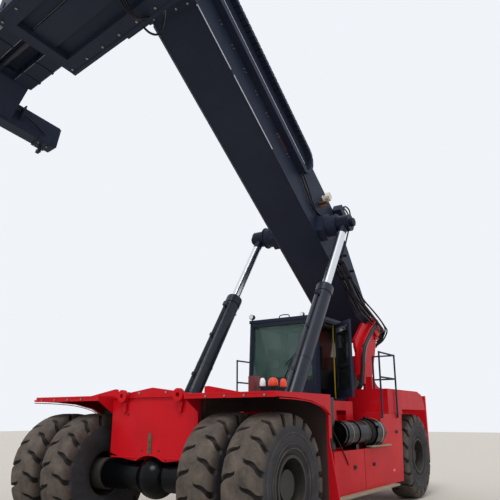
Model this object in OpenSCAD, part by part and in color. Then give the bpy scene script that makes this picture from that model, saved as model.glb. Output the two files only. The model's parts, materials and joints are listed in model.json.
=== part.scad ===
// Container reach stacker, 45 t class, in millimetres.
// +X forward, +Y to the driver's left, +Z up. The origin is on the ground under the middle of the
// machine. The modules work from the front axle, whose centre stands at front_axle_x.

/* [Wheels] */
// Distance between the front and the rear axle
wheelbase = 6200; // [5900:50:6600]
// Outer diameter of every tyre
tyre_d = 1620; // [1560:10:1660]
// Width of every tyre
tyre_w = 486; // [440:2:500]
// Diameter of the rims at the bead
rim_d = 640; // [600:10:700]
// Distance from the centre plane to the middle of a front twin pair
twin_y = 1490; // [1460:5:1540]
// Distance between the two tyres of a twin pair, middle to middle
twin_gap = 622; // [600:2:660]
// Distance from the centre plane to the middle of a rear tyre
rear_wheel_y = 1290; // [1260:5:1340]
// Distance from the centre plane to a kingpin
kingpin_y = 950; // [900:5:980]

/* [Chassis] */
// Height of the deck between the lift cylinders
deck_z = 1700; // [1660:10:1760]
// Height of the upper edge of the front plate and fenders
front_top_z = 1850; // [1820:5:1880]
// Thickness of the main plates
plate_t = 20; // [12:1:30]
// Half width over the side boxes and the hood sides
body_half_w = 1550; // [1500:10:1600]
// Height of the running boards
board_z = 440; // [380:10:500]
// Distance from the rear axle back to the end of the counterweight
rear_overhang = 1560; // [1450:10:1700]

/* [Boom] */
// Boom pin behind the rear axle
pivot_overhang = 450; // [400:10:550]
// Height of the boom pin
pivot_z = 3550; // [3500:10:3650]
// Angle of the boom above level, as parked
boom_angle = 35; // [20:1:50]
// Width of the outer boom
boom_w = 926; // [880:2:980]
// Depth of the outer boom
boom_h = 1150; // [1100:10:1250]
// Plate thickness of both booms
boom_wall = 18; // [12:1:24]
// Boom pin to the mouth of the outer boom
boom_mouth = 8300; // [8000:50:8600]
// Space between the outer and the inner boom
boom_gap = 32; // [24:1:40]
// Boom pin to the head pin, along the boom
head_s = 9550; // [9400:10:9700]
// Head pin below the boom pin, across the boom
head_drop = 657; // [600:1:700]
// Boom pin to the lift cylinders' upper pins, along the boom
lift_s = 3017; // [2900:10:3100]
// Lift cylinders' upper pins above the boom pin, across the boom
lift_t = 72; // [40:2:120]

/* [Lift cylinders] */
// Distance from the centre plane to a lift cylinder
lift_y = 1000; // [980:5:1030]
// Lower pins behind the front axle
foot_back = 1350; // [1300:10:1400]
// Height of the lower pins
foot_z = 1100; // [1050:10:1150]
// Outer diameter of a barrel
barrel_d = 290; // [270:2:300]
// Diameter of a rod
rod_d = 170; // [150:2:190]
// Lower pin to the open end of the barrel
barrel_len = 3290; // [3200:10:3300]

/* [Spreader] */
// Distance between the twistlocks across the machine, at the 20 foot setting
lock_span = 5853; // [5853:1:5853]
// Distance between the twistlocks of one end
lock_pitch = 2259; // [2259:1:2259]
// Head pin to the tips of the twistlocks
spreader_drop = 2190; // [2150:10:2300]
// Angle that the spreader hangs nose up, as parked
spreader_tilt = 11; // [0:1:12]
// Angle that it is turned by, as parked, the left end forward
spreader_yaw = 9; // [0:1:12]
// Depth of the main beams of the spreader
spreader_beam_h = 220; // [200:10:260]

/* [Cab] */
// Front of the cab behind the front axle
cab_front_back = 3350; // [3300:10:3400]
// Length of the cab
cab_len = 1300; // [1250:10:1400]
// Half width of the cab
cab_half_w = 720; // [680:5:740]
// Height of the cab
cab_h = 1620; // [1560:10:1620]
// Angle at which the door stands open, as parked
door_open = 45; // [0:1:80]
// Thickness of the cab's walls
cab_wall = 40; // [30:1:50]

/* [Hidden] */

tyre_r = tyre_d / 2;
pivot_back = wheelbase + pivot_overhang;
spreader_reach = 1340;
spreader_x = -pivot_back + head_s * cos(boom_angle) + head_drop * sin(boom_angle);
head_z = pivot_z + head_s * sin(boom_angle) - head_drop * cos(boom_angle);
// the foremost corner: the left end beam's outer lower one
beam_low = 160 - spreader_drop;
beam_out = lock_span / 2 + 105;
front_reach = spreader_x - beam_low * sin(spreader_tilt)
    + (spreader_reach * cos(spreader_yaw) + beam_out * sin(spreader_yaw)) * cos(spreader_tilt);
front_axle_x = (wheelbase + rear_overhang - front_reach) / 2;
red = "#c4161c";
black = "#17181b";
steel = "#c9ccd0";
rubber = "#2b2927";
pin_gap = 0.08;
seat_gap = 0.3;

// places a solid whose coordinates start at the front axle
module machine() translate([front_axle_x, 0, 0]) children();
// places a solid in the boom's own axes: X along it from its pin, Z across it
module on_boom() machine() translate([-pivot_back, 0, pivot_z]) rotate([0, -boom_angle, 0]) children();
// a side profile drawn in X and Z, as thick as from y0 to y1
module slab(y0, y1) translate([0, y1, 0]) rotate([90, 0, 0]) linear_extrude(y1 - y0) children();
// a front profile drawn in Y and Z, as thick as from x0 to x1
module bulkhead(x0, x1) translate([x0, 0, 0]) rotate([90, 0, 90]) linear_extrude(x1 - x0) children();
module block(low, high) translate(low) cube(high - low);
module shaft_y(x, z, r, y0, y1, fn = 48) translate([x, y0, z]) rotate([-90, 0, 0]) cylinder(h = y1 - y0, r = r, $fn = fn);
module both_sides() { children(); mirror([0, 1, 0]) children(); }
module side(s) { if (s > 0) children(); else mirror([0, 1, 0]) children(); }

// Chassis
front_half_w = 760;
front_x = 150;
return_back = 30;
spindle_r = 85;
rail_in = 450;
rail_out = 700;
rear_rail_in = 200;
rear_rail_out = 390;
weight_depth = 520;
rear_end = -wheelbase - rear_overhang;
weight_front = rear_end + weight_depth;
seam_z = deck_z - plate_t - 60;
arch_z = 1710;
frame_front = front_x - plate_t;
module rail_profile() polygon([
    [frame_front, 1130], [frame_front, deck_z - plate_t], [-4900, deck_z - plate_t], [-5250, 1400],
    [-5250, 1180], [-4900, 620], [-600, 620], [-360, 1130]]);
module rear_rail_profile() polygon([
    [-5000, 1180], [-5000, deck_z - plate_t], [weight_front, deck_z - plate_t], [weight_front, 1180]]);
module foot_cheeks() {
    for (y = [lift_y - 200, lift_y + 155])
        difference() {
            slab(y, y + 45) union() {
                translate([-foot_back, foot_z]) circle(r = 210, $fn = 64);
                polygon([[-foot_back - 210, 620], [-foot_back + 210, 620], [-foot_back + 210, foot_z],
                    [-foot_back - 210, foot_z]]);
            }
            shaft_y(-foot_back, foot_z, 90, y - 1, y + 46, 64);
        }
    block([-foot_back - 210, rail_out - 1, 620], [-foot_back + 210, lift_y + 200, 660]);
    shaft_y(-foot_back, foot_z, 90, lift_y - 200, lift_y + 215, 64);
}
module chassis_frame() color(red) machine() {
    both_sides() {
        slab(rail_in, rail_out) rail_profile();
        slab(rear_rail_in, rear_rail_out) rear_rail_profile();
        foot_cheeks();
        block([-1050, rear_rail_out, 1180], [-450, rail_in + 1, 1600]);
    }
    for (x = [-600, -2600, -4900]) block([x - 220, -rail_in - 1, 1180], [x, rail_in + 1, 1600]);
}

// the plate stands across the front between the twin tyres, bent at the centre plane
arch_r = 446;
arch_centre_z = 634;
arch_lip = 25;
plate_bend = 40;
plate_rise = 100;
plate_low = 1005;
lock_boss_y = 470;
module front_plate() color(red) machine() {
    difference() {
        both_sides() {
            slab_plan(plate_low - 30, front_top_z + plate_rise) polygon([
                [front_x - plate_t + plate_bend, 0], [front_x + plate_bend, 0], [front_x, front_half_w],
                [front_x - plate_t, front_half_w]]);
            block([return_back, front_half_w - 20, plate_low + 95], [front_x, front_half_w, front_top_z]);
            block([frame_front, rail_in + 20, 1180], [front_x - 1, rail_out - 20, deck_z - 60]);
        }
        both_sides() bulkhead(return_back, front_x + 60) polygon([
            [-1, plate_low - 50], [front_half_w + 1, plate_low - 50], [front_half_w + 1, plate_low + 95],
            [480, plate_low + 25], [240, plate_low], [-1, plate_low]]);
        both_sides() bulkhead(return_back - 1, front_x + 60) polygon([
            [0, front_top_z + plate_rise + 1], [front_half_w + 1, front_top_z + plate_rise + 1],
            [front_half_w + 1, front_top_z]]);
        shaft_x(0, arch_centre_z, arch_r, return_back, front_x + 60);
    }
    difference() {
        shaft_x(0, arch_centre_z, arch_r + arch_lip, front_x - 60, front_x + 48, 72);
        shaft_x(0, arch_centre_z, arch_r, front_x - 61, front_x + 60, 72);
        block([front_x - 62, -arch_r - 60, 0], [front_x + 61, arch_r + 60, plate_low + 10]);
    }
    block([return_back, -front_half_w + 30, front_top_z - 30], [front_x, front_half_w - 30, front_top_z - 14]);
    both_sides() {
        shaft_x(lock_boss_y, front_top_z - 5, 48, front_x - 10, front_x + 55, 32);
        block([front_x - 2, lock_boss_y - 8, front_top_z - 220], [front_x + 50, lock_boss_y + 8, front_top_z - 50]);
    }
}
// a plan outline drawn in X and Y, as tall as from z0 to z1
module slab_plan(z0, z1) translate([0, 0, z0]) linear_extrude(z1 - z0) children();
module shaft_x(y, z, r, x0, x1, fn = 48) translate([x0, y, z]) rotate([0, 90, 0]) cylinder(h = x1 - x0, r = r, $fn = fn);

// a fender covers one twin pair: top sheet, front beam, outer skirt and the mudguard behind the tyres
fender_out = 2080;
fender_front = 440;
fender_rear = -900;
fender_lip = 45;
module skirt_outline(drop) polygon([
    [fender_front, front_top_z - 60 - drop], [fender_front, front_top_z - plate_t], [fender_rear, front_top_z - plate_t],
    [fender_rear, front_top_z - 260 - drop], [-700, front_top_z - 160 - drop], [-350, front_top_z - 90 - drop],
    [50, front_top_z - 65 - drop]]);
module fender() {
    block([fender_rear, front_half_w, front_top_z - plate_t], [fender_front, fender_out, front_top_z]);
    block([fender_front - 40, front_half_w, front_top_z - 65], [fender_front, fender_out, front_top_z - plate_t]);
    slab(fender_out - plate_t, fender_out) skirt_outline(0);
    slab(fender_out, fender_out + fender_lip) difference() {
        skirt_outline(0);
        translate([0, 25]) skirt_outline(0);
    }
    slab(front_half_w, front_half_w + 16) polygon([
        [fender_front, front_top_z - plate_t], [fender_front, front_top_z - 60], [front_x - 1, front_top_z - 230],
        [front_x - 1, front_top_z - plate_t]]);
    bulkhead(front_x - 110, front_x - 98) polygon([
        [front_half_w + 20, front_top_z - 1], [1450, front_top_z - 1], [840, 1955], [front_half_w + 20, 1950]]);
    block([fender_rear - 1, front_half_w, 1650], [return_back, front_half_w + 16, front_top_z - plate_t + 1]);
    bulkhead(fender_rear - plate_t, fender_rear) polygon([
        [lift_y + 210, front_top_z], [fender_out, front_top_z], [fender_out, 1250], [fender_out + 60, 900],
        [fender_out + 120, 520], [lift_y + 210, 520]]);
    block([fender_rear - plate_t - 60, fender_out - 40, 1300], [fender_rear - plate_t + 1, fender_out, front_top_z]);
    block([fender_rear - 20, front_half_w, 1500], [fender_rear, lift_y + 210, front_top_z]);
}
module fender_left() color(red) machine() fender();
module fender_right() color(red) machine() mirror([0, 1, 0]) fender();

catwalk_front = -2780;
catwalk_rear = -3690;
catwalk_in = cab_half_w + 60;
catwalk_y = 1210;
catwalk_z = 1830;
module deck() color(red) machine() {
    block([-5050, -rail_out, deck_z - plate_t], [frame_front - 5, rail_out, deck_z]);
    both_sides() {
        block([-5050, 430, deck_z], [-1700, 520, deck_z + 80]);
        block([catwalk_rear, catwalk_in, catwalk_z - plate_t], [catwalk_front, catwalk_y, catwalk_z]);
        for (x = [catwalk_rear + 40, catwalk_front - 160]) block([x, rail_out, deck_z - 100], [x + 60, catwalk_y - 24, deck_z]);
        slab(catwalk_y - 25, catwalk_y) difference() {
            polygon([[catwalk_front, catwalk_z], [catwalk_front - 60, 1500], [catwalk_front - 160, 1410],
                [catwalk_rear, 1410], [catwalk_rear, catwalk_z]]);
            translate([catwalk_front - 430, 1590]) square([400, 170], center = true);
        }
    }
    block([-420, -rail_out, deck_z], [-400, rail_out, deck_z + 160]);
}

box_front = -2150;
box_rear = 950 - wheelbase;
box_in = 960;
module side_box() {
    slab(box_in, body_half_w) polygon([
        [box_front, 420], [box_front, 1060], [-4100, 1060], [-4100, seam_z], [box_rear, seam_z],
        [box_rear + 120, 420]]);
    block([-4500, rail_out, 700], [-4300, box_in, 1000]);
    block([-2600, rail_out, 700], [-2400, box_in, 1000]);
}
module side_box_left() color(red) machine() side_box();
module side_box_right() color(red) machine() mirror([0, 1, 0]) side_box();

module running_boards() color("#8b7d68") machine() both_sides() {
    block([-4600, body_half_w - 260, board_z - 50], [-2000, body_half_w + 110, board_z - 20]);
}

// Boom tower: two curved plates carry the boom pin
tower_in = 520;
tower_out = 580;
pivot_pin_r = 110;
module tower_profile() {
    translate([-pivot_back, pivot_z]) circle(r = 250, $fn = 72);
    translate([-pivot_back, 0]) polygon([
        [1100, deck_z - 1], [800, 1960], [740, 2080], [760, 2250], [1080, 2330], [1110, 2420], [1130, 2900],
        [1190, 3000], [1205, 3150], [720, 3580], [560, 3560], [150, 3725], [-130, 3745], [-330, 3690],
        [-30, 3320], [110, 2950], [350, 2420], [400, 2100], [380, 1950], [200, deck_z - 1]]);
}
module boom_tower() color(red) machine() {
    both_sides() difference() {
        slab(tower_in, tower_out) tower_profile();
        shaft_y(-pivot_back, pivot_z, pivot_pin_r, tower_in - 1, tower_out + 1, 64);
    }
    shaft_y(-pivot_back, pivot_z, pivot_pin_r, -tower_out - 30, tower_out + 30, 64);
    block([-pivot_back + 330, -tower_in - 1, 2520], [-pivot_back + 380, tower_in + 1, 2900]);
    both_sides() {
        block([-pivot_back + 180, 310, deck_z - plate_t], [-pivot_back + 1120, tower_out, deck_z]);
        translate([-pivot_back, 0, 0]) slab(tower_out, tower_out + 70) polygon([
            [120, 3700], [500, 3480], [840, 3200], [1010, 2960], [1090, 2420], [930, 2420], [870, 2900],
            [720, 3120], [400, 3380], [60, 3570]]);
    }
}

module counterweight() color(red) machine() translate([rear_end, 0, 0]) difference() {
    linear_extrude(2020) polygon([
        [0, -900], [60, -1150], [230, -1330], [460, -1420], [weight_depth, -1420], [weight_depth, 1420], [460, 1420],
        [230, 1330], [60, 1150], [0, 900]]);
    translate([-1, -2000, -1]) cube([600, 4000, 701]);
    shaft_x(0, 900, 40, -1, 300);
}

hood_front = -4550;
hood_z = 2080;
module engine_hood() color(red) machine() {
    both_sides() {
        slab(cab_half_w + 30, body_half_w) polygon([
            [hood_front, seam_z], [hood_front, hood_z], [-wheelbase - 100, hood_z], [-wheelbase - 360, hood_z - 60],
            [-wheelbase - 500, 1900], [-wheelbase - 560, arch_z], [box_rear - 40, arch_z], [box_rear - 40, seam_z]]);
        slab(960, 1080) difference() {
            polygon([[-4980, hood_z - 1], [-4980, hood_z + 255], [-5470, hood_z + 255], [-5470, hood_z + 50],
                [-5520, hood_z + 45], [-5560, hood_z - 1]]);
            translate([-5470, hood_z + 511]) circle(r = 461, $fn = 96);
        }
        block([-wheelbase - 500, tower_out, deck_z], [900 - wheelbase, cab_half_w + 31, 1900]);
    }
}

module drive_axle() color(black) machine() {
    shaft_y(0, tyre_r, 190, -880, 880);
    translate([60, 0, tyre_r]) sphere(r = 250, $fn = 64);
    both_sides() {
        block([-200, 460, tyre_r], [100, 690, 1130]);
        shaft_y(0, tyre_r, spindle_r, 870, twin_y + 60);
    }
}

module engine_block() color("#5a5d60") machine() block([-wheelbase - 100, -300, deck_z - plate_t], [1140 - wheelbase, 300, 2500]);

module steer_axle() color(black) machine() {
    block([-wheelbase - 170, -820, tyre_r - 130], [-wheelbase + 170, 820, tyre_r + 130]);
    both_sides() {
        for (z = [tyre_r - 170, tyre_r + 110])
            difference() {
                union() {
                    block([-wheelbase - 110, 700, z], [-wheelbase + 110, kingpin_y, z + 60]);
                    translate([-wheelbase, kingpin_y, z]) cylinder(h = 60, r = 110, $fn = 48);
                }
                translate([-wheelbase, kingpin_y, z - 1]) cylinder(h = 62, r = 50 + pin_gap, $fn = 48);
            }
    }
    block([-wheelbase - 150, -rear_rail_out, tyre_r + 130], [-wheelbase + 150, rear_rail_out, 1180]);
}

module air_cleaner() color(black) machine() {
    shaft_x(1420, 1310, 190, -3700, -2500);
    shaft_x(1420, 1310, 235, -4060, -3700);
    for (x = [-3740, -3080, -2620]) shaft_x(1420, 1310, 204, x, x + 40);
    shaft_x(1420, 1310, 120, -2500, -2420);
    translate([-3980, 1420, 1064]) cylinder(h = 60, r = 45, $fn = 24);
    block([-3100, 1300, 1060], [-3000, 1540, 1140]);
    block([-3900, 1300, 1060], [-3800, 1540, 1100]);
}

rail_r = 17;
rail_y = body_half_w + 28;
rail_in_y = 1140;
rail_xs = [-4150, -4950];
rail_zs = [2270, 2720];
module handrails() color(black) machine() both_sides() {
    for (x = rail_xs) {
        translate([x, rail_y, seam_z - 60]) cylinder(h = rail_zs[1] - seam_z + 60 + rail_r, r = rail_r, $fn = 16);
        for (z = [seam_z - 60, seam_z - 20]) shaft_y(x, z, rail_r - 3, body_half_w, rail_y, 16);
    }
    translate([rail_xs[1], rail_in_y, hood_z]) cylinder(h = rail_zs[1] - hood_z + rail_r, r = rail_r, $fn = 16);
    for (z = rail_zs) {
        shaft_x(rail_y, z, rail_r - 1, rail_xs[1], rail_xs[0], 16);
        shaft_y(rail_xs[1], z, rail_r - 2, rail_in_y, rail_y, 16);
    }
}

module exhaust() color("#4a4a48") machine() {
    translate([-5700, -900, hood_z]) cylinder(h = 900, r = 110, $fn = 48);
    translate([-5700, -900, hood_z + 899]) cylinder(h = 450, r = 60, $fn = 48);
}

// Wheels
groove_count = 18;
groove_w = 42;
groove_len = 190;
groove_depth = 34;
groove_slant = 24;
module tyre_body() rotate([90, 0, 0]) rotate_extrude($fn = 96) {
    h = tyre_w / 2;
    polygon([
        [rim_d / 2 + seat_gap, -h * 0.78], [rim_d / 2 + 60, -h * 0.9], [tyre_r * 0.72, -h], [tyre_r - 90, -h],
        [tyre_r - 20, -h + 40], [tyre_r, -h + 110], [tyre_r, h - 110], [tyre_r - 20, h - 40], [tyre_r - 90, h],
        [tyre_r * 0.72, h], [rim_d / 2 + 60, h * 0.9], [rim_d / 2 + seat_gap, h * 0.78]]);
}
module tyre_ring() difference() {
    tyre_body();
    for (k = [-1, 1], n = [0:groove_count - 1])
        rotate([0, (n + k / 4) * 360 / groove_count, 0]) translate([0, k * tyre_w / 2, tyre_r])
            rotate([0, 0, k * groove_slant]) translate([-groove_w / 2, -groove_len + 60, -groove_depth])
                cube([groove_w, 2 * groove_len - 120, 2 * groove_depth]);
}
module twin_tyres(s) color(rubber) machine() side(s)
    for (k = [-1, 1]) translate([0, twin_y + k * twin_gap / 2, tyre_r]) tyre_ring();
module rim_ring() rotate([90, 0, 0]) rotate_extrude($fn = 96) {
    h = tyre_w * 0.78 / 2;
    polygon([
        [rim_d / 2 - 22, -h], [rim_d / 2, -h], [rim_d / 2, h], [rim_d / 2 - 22, h]]);
}
module front_rims(s) color("#3a3a3c") machine() side(s) translate([0, 0, tyre_r]) {
    for (k = [-1, 1]) translate([0, twin_y + k * twin_gap / 2, 0]) rim_ring();
    difference() {
        union() {
            shaft_y(0, 0, rim_d / 2 - 1, twin_y - 20, twin_y + 20);
            shaft_y(0, 0, rim_d / 2, twin_y - twin_gap / 2 + 150, twin_y + twin_gap / 2 - 150);
            shaft_y(0, 0, 170, twin_y - 20, twin_y + twin_gap / 2 + 160);
        }
        shaft_y(0, 0, 200, 884, twin_y + 90);
    }
    difference() {
        shaft_y(0, 0, 210, 885, twin_y + 100);
        shaft_y(0, 0, spindle_r + pin_gap, 884, twin_y + 62);
    }
}
module rear_rim(s) color("#3a3a3c") machine() side(s) translate([-wheelbase, rear_wheel_y, tyre_r]) {
    rim_ring();
    difference() {
        union() {
            shaft_y(0, 0, rim_d / 2 - 1, 0, 24);
            shaft_y(0, 0, 130, -100, 130);
        }
        shaft_y(0, 0, spindle_r + pin_gap, -101, 80);
    }
}
module rear_tyre(s) color(rubber) machine() side(s) translate([-wheelbase, rear_wheel_y, tyre_r]) tyre_ring();
module knuckle(s) color(black) machine() side(s) translate([-wheelbase, kingpin_y, tyre_r]) {
    translate([0, 0, -180]) cylinder(h = 360, r = 50, $fn = 48);
    translate([0, 0, -105]) cylinder(h = 210, r = 100, $fn = 48);
    shaft_y(0, 0, 95, 0, rear_wheel_y - kingpin_y - 105);
    shaft_y(0, 0, spindle_r, 0, rear_wheel_y - kingpin_y + 78);
}

// Boom
boom_low = -230;
boom_top = boom_low + boom_h;
inner_low = boom_low + boom_wall + boom_gap;
inner_top = boom_top - boom_wall - boom_gap;
inner_half = boom_w / 2 - boom_wall - boom_gap;
inner_rear = 1900;
module boom_outline(grow) polygon([
    [-200, boom_low - grow], [boom_mouth, boom_low - grow], [boom_mouth, boom_top + grow],
    [2500, boom_top + grow], [300, 250 + grow], [0, 260 + grow], [-250, 60], [-250, -60]]);
module boom_base() color(black) on_boom() difference() {
    union() {
        slab(-boom_w / 2, boom_w / 2) boom_outline(0);
        slab(-boom_w / 2 - 40, boom_w / 2 + 40) intersection() {
            boom_outline(40);
            translate([boom_mouth - 260, -2000]) square([260, 4000]);
        }
        both_sides() {
            shaft_y(lift_s, lift_t, 210, boom_w / 2 - 10, lift_y - 170, 64);
            slab(boom_w / 2 - 1, boom_w / 2 + 170) translate([lift_s, lift_t]) circle(r = 300, $fn = 6);
            block([900, boom_w / 2 - 1, boom_low - 12], [boom_mouth - 300, boom_w / 2 + 14, boom_low + 30]);
        }
        shaft_y(0, 0, 250, -tower_in + 6, tower_in - 6, 64);
    }
    slab(-boom_w / 2 + boom_wall, boom_w / 2 - boom_wall) polygon([
        [600, boom_low + boom_wall], [boom_mouth + 1, boom_low + boom_wall],
        [boom_mouth + 1, boom_top - boom_wall], [2500, boom_top - boom_wall], [600, 320]]);
    shaft_y(0, 0, pivot_pin_r + pin_gap, -tower_in, tower_in, 64);
}

pad_t = boom_gap - 0.5;
module inner_boom() color(black) on_boom() {
    difference() {
        union() {
            slab(-inner_half, inner_half) polygon([
                [inner_rear, inner_low], [head_s - 500, inner_low], [head_s - 500, inner_top],
                [inner_rear + 700, inner_top]]);
            for (y = [-inner_half - pad_t, inner_half])
                slab(y, y + pad_t) polygon([[2600, inner_low + 60], [2900, inner_low + 60], [2900, inner_top - 60],
                    [2600, inner_top - 60]]);
            block([2600, -300, inner_low - pad_t], [2900, 300, inner_low]);
            block([2700, -300, inner_top], [3000, 300, inner_top + pad_t]);
        }
        slab(-inner_half + boom_wall, inner_half - boom_wall) polygon([
            [inner_rear - 1, inner_low + boom_wall], [head_s - 800, inner_low + boom_wall],
            [head_s - 800, inner_top - boom_wall], [inner_rear - 1, inner_top - boom_wall]]);
    }
    // head: two cheeks reach down to the head pin
    both_sides() difference() {
        slab(inner_half - 90, inner_half - 20) union() {
            translate([head_s, -head_drop]) circle(r = 220, $fn = 64);
            polygon([
                [head_s - 800, inner_low + 30], [head_s - 800, inner_top - 60], [head_s - 250, inner_top - 60],
                [head_s + 180, inner_top - 330], [head_s + 220, -head_drop], [head_s - 200, -head_drop - 60]]);
        }
        shaft_y(head_s, -head_drop, 80, inner_half - 91, inner_half - 19, 64);
    }
    shaft_y(head_s, -head_drop, 80, -inner_half - 10, inner_half + 10, 64);
}

// energy chain: a notched band along a run, round a bend and back, in a tray on the boom's left side
track_y = boom_w / 2 + seat_gap;
track_w = 118;
link_pitch = 120;
link_h = 74;
notch_w = 14;
notch_depth = 22;
bend_s = 4400;
bend_r = 290;
bend_t = 640;
run_links = 30;
bend_links = 8;
module link_notch() square([notch_w, 2 * notch_depth], center = true);
module chain_outline() translate([bend_s, bend_t]) difference() {
    union() {
        difference() {
            circle(r = bend_r + link_h / 2, $fn = 96);
            circle(r = bend_r - link_h / 2, $fn = 96);
            translate([0, -400]) square([400, 800]);
        }
        for (k = [-1, 1]) translate([0, k * bend_r - link_h / 2]) square([run_links * link_pitch, link_h]);
    }
    for (k = [-1, 1], n = [1:run_links - 1], m = [-1, 1])
        translate([n * link_pitch, k * bend_r + m * link_h / 2]) link_notch();
    for (n = [0.5:bend_links]) rotate(90 + n * 180 / bend_links) translate([bend_r + link_h / 2, 0]) rotate(90) link_notch();
}
tray_z = bend_t - bend_r - link_h / 2;
module hose_track() color(black) on_boom() {
    slab(track_y, track_y + track_w) chain_outline();
    block([bend_s - 120, track_y, tray_z - 20], [boom_mouth - 280, track_y + track_w + 32, tray_z + 3]);
    block([bend_s - 120, track_y + track_w + 16, tray_z], [boom_mouth - 280, track_y + track_w + 32, tray_z + 100]);
}
module work_lamps() color("#d8d4c8") on_boom() both_sides() {
    block([3180, boom_w / 2 + 30, 760], [3320, boom_w / 2 + 130, 900]);
    block([3150, boom_w / 2 + seat_gap, 690], [3350, boom_w / 2 + 20, 780]);
    block([3200, boom_w / 2 + 10, 730], [3300, boom_w / 2 + 110, 770]);
}

// Lift cylinders
lift_x = -pivot_back + lift_s * cos(boom_angle) - lift_t * sin(boom_angle);
lift_z = pivot_z + lift_s * sin(boom_angle) + lift_t * cos(boom_angle);
lift_len = norm([lift_x + foot_back, lift_z - foot_z]);
lift_tilt = atan2(lift_z - foot_z, lift_x + foot_back);
// places a solid in a lift cylinder's own axes: X from the lower pin to the upper one
module on_cylinder(s) machine() side(s)
    translate([-foot_back, lift_y, foot_z]) rotate([0, -lift_tilt, 0]) children();
pipe_r = 18;
pipe_off = barrel_d / 2 + 34;
pipe_clamps = [460, 1300, 2200];
module lift_barrel(s) color("#33363a") on_cylinder(s) difference() {
    union() {
        shaft_y(0, 0, 190, -140, 140, 64);
        shaft_x(0, 0, barrel_d / 2, 100, barrel_len - 60, 64);
        shaft_x(0, 0, barrel_d / 2 + 12, barrel_len - 160, barrel_len, 64);
        shaft_x(0, 0, barrel_d / 2 + 9, 300, 340, 64);
        translate([0, 0, -pipe_off]) shaft_x(0, 0, pipe_r, 420, barrel_len - 260, 24);
        for (x = pipe_clamps) block([x, -26, -pipe_off - pipe_r - 6], [x + 60, 26, -barrel_d / 2 + 8]);
        block([barrel_len - 330, -40, -pipe_off - 30], [barrel_len - 230, 40, -barrel_d / 2 + 8]);
    }
    shaft_y(0, 0, 90 + pin_gap, -141, 141, 64);
    shaft_x(0, 0, rod_d / 2 + pin_gap, 300, barrel_len + 1, 64);
}
module lift_rod(s) color(steel) on_cylinder(s) {
    shaft_x(0, 0, rod_d / 2, lift_len - barrel_len + 150, lift_len - 100, 64);
    shaft_y(lift_len, 0, 170, -130, 130, 64);
    shaft_y(lift_len, 0, 85, -169.5, 190, 64);
}

// Spreader, seen in the axes of the machine
module at_head() machine() translate([spreader_x, 0, head_z]) rotate([0, -spreader_tilt, 0]) children();
// and in those of the turntable below the yoke
module at_turn() at_head() rotate([0, 0, -spreader_yaw]) children();
yoke_half = inner_half - 96;
yoke_low = -640;
bed_top = -1040;
frame_top = -1290;
frame_low = frame_top - spreader_beam_h;
module spreader_yoke() color(black) at_head() difference() {
    union() {
        shaft_y(0, 0, 190, -yoke_half, yoke_half, 64);
        block([-190, -yoke_half, yoke_low + 1], [190, yoke_half, 0]);
        translate([0, 0, yoke_low]) cylinder(h = 60, r = 620, $fn = 96);
    }
    shaft_y(0, 0, 80 + pin_gap, -yoke_half - 1, yoke_half + 1, 64);
}
// turntable and the bed that the main frame shifts on
module rotator() color(black) at_turn() {
    translate([0, 0, bed_top]) cylinder(h = yoke_low - bed_top - seat_gap, r = 600, $fn = 96);
    difference() {
        block([-640, -1400, frame_top + seat_gap], [640, 1400, bed_top]);
        block([-400, -1250, frame_top], [400, -640, bed_top - 40]);
        block([-400, 640, frame_top], [400, 1250, bed_top - 40]);
    }
}
// main frame: two tubes that hold the arms of the end beams, deeper boxes round them at the middle
tube_x = 345;
tube_w = 300;
tube_wall = 20;
frame_half = lock_span / 2 - 526.5;
girdle_half = 1300;
girdle_x = 660;
girdle_in = 420;
girdle_low = frame_low - 110;
module spreader_frame() color(black) at_turn() {
    for (k = [-1, 1]) {
        translate([k * tube_x, 0, 0]) difference() {
            block([-tube_w / 2, -frame_half, frame_low], [tube_w / 2, frame_half, frame_top]);
            block([-tube_w / 2 + tube_wall, -frame_half - 1, frame_low + tube_wall],
                [tube_w / 2 - tube_wall, frame_half + 1, frame_top - tube_wall]);
        }
        translate([k * (tube_x + tube_w / 2), 0, 0]) block(
            [k > 0 ? -1 : tube_x + tube_w / 2 - girdle_x, -girdle_half, frame_low],
            [k > 0 ? girdle_x - tube_x - tube_w / 2 : 1, girdle_half, frame_top - 10]);
    }
    // a deep ring under the tubes leaves the recess at the middle
    difference() {
        block([-girdle_x, -girdle_half, girdle_low], [girdle_x, girdle_half, frame_low + 1]);
        block([-girdle_in, -girdle_half + 200, girdle_low - 1], [girdle_in, girdle_half - 200, frame_low + 2]);
    }
    for (k = [-1, 1]) translate([0, k * (girdle_half - 200), 0])
        block([-tube_x + tube_w / 2 - 1, -190, frame_low], [tube_x - tube_w / 2 + 1, 190, frame_top]);
}
// end beam: arm in its tube, sloping neck, the beam across and its two twistlocks
lock_z = -spreader_drop;
beam_top = lock_z + 580;
beam_in = lock_span / 2 - 140;
arm_top = frame_top - tube_wall - 6;
arm_low = frame_low + tube_wall + seat_gap;
arm_end = frame_half + 200;
arm_half = tube_w / 2 - tube_wall - 6;
module end_beam(s) color(black) at_turn() rotate([0, 0, s > 0 ? 0 : 180]) {
    block([tube_x - arm_half, -2200, arm_low], [tube_x + arm_half, arm_end, arm_top]);
    bulkhead(-tube_x - arm_half, tube_x + arm_half) polygon([
        [frame_half + 40, arm_low], [frame_half + 40, arm_top], [arm_end, arm_top], [beam_in + 1, beam_top],
        [beam_in + 1, beam_low + 60]]);
    block([-spreader_reach, beam_in, beam_low], [spreader_reach, beam_out, beam_top]);
    for (k = [-1, 1]) translate([k * lock_pitch / 2, lock_span / 2, lock_z]) {
        cylinder(h = beam_low - lock_z + 1, r = 26, $fn = 32);
        block([-28, -50, 0], [28, 50, 60]);
    }
}

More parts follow.
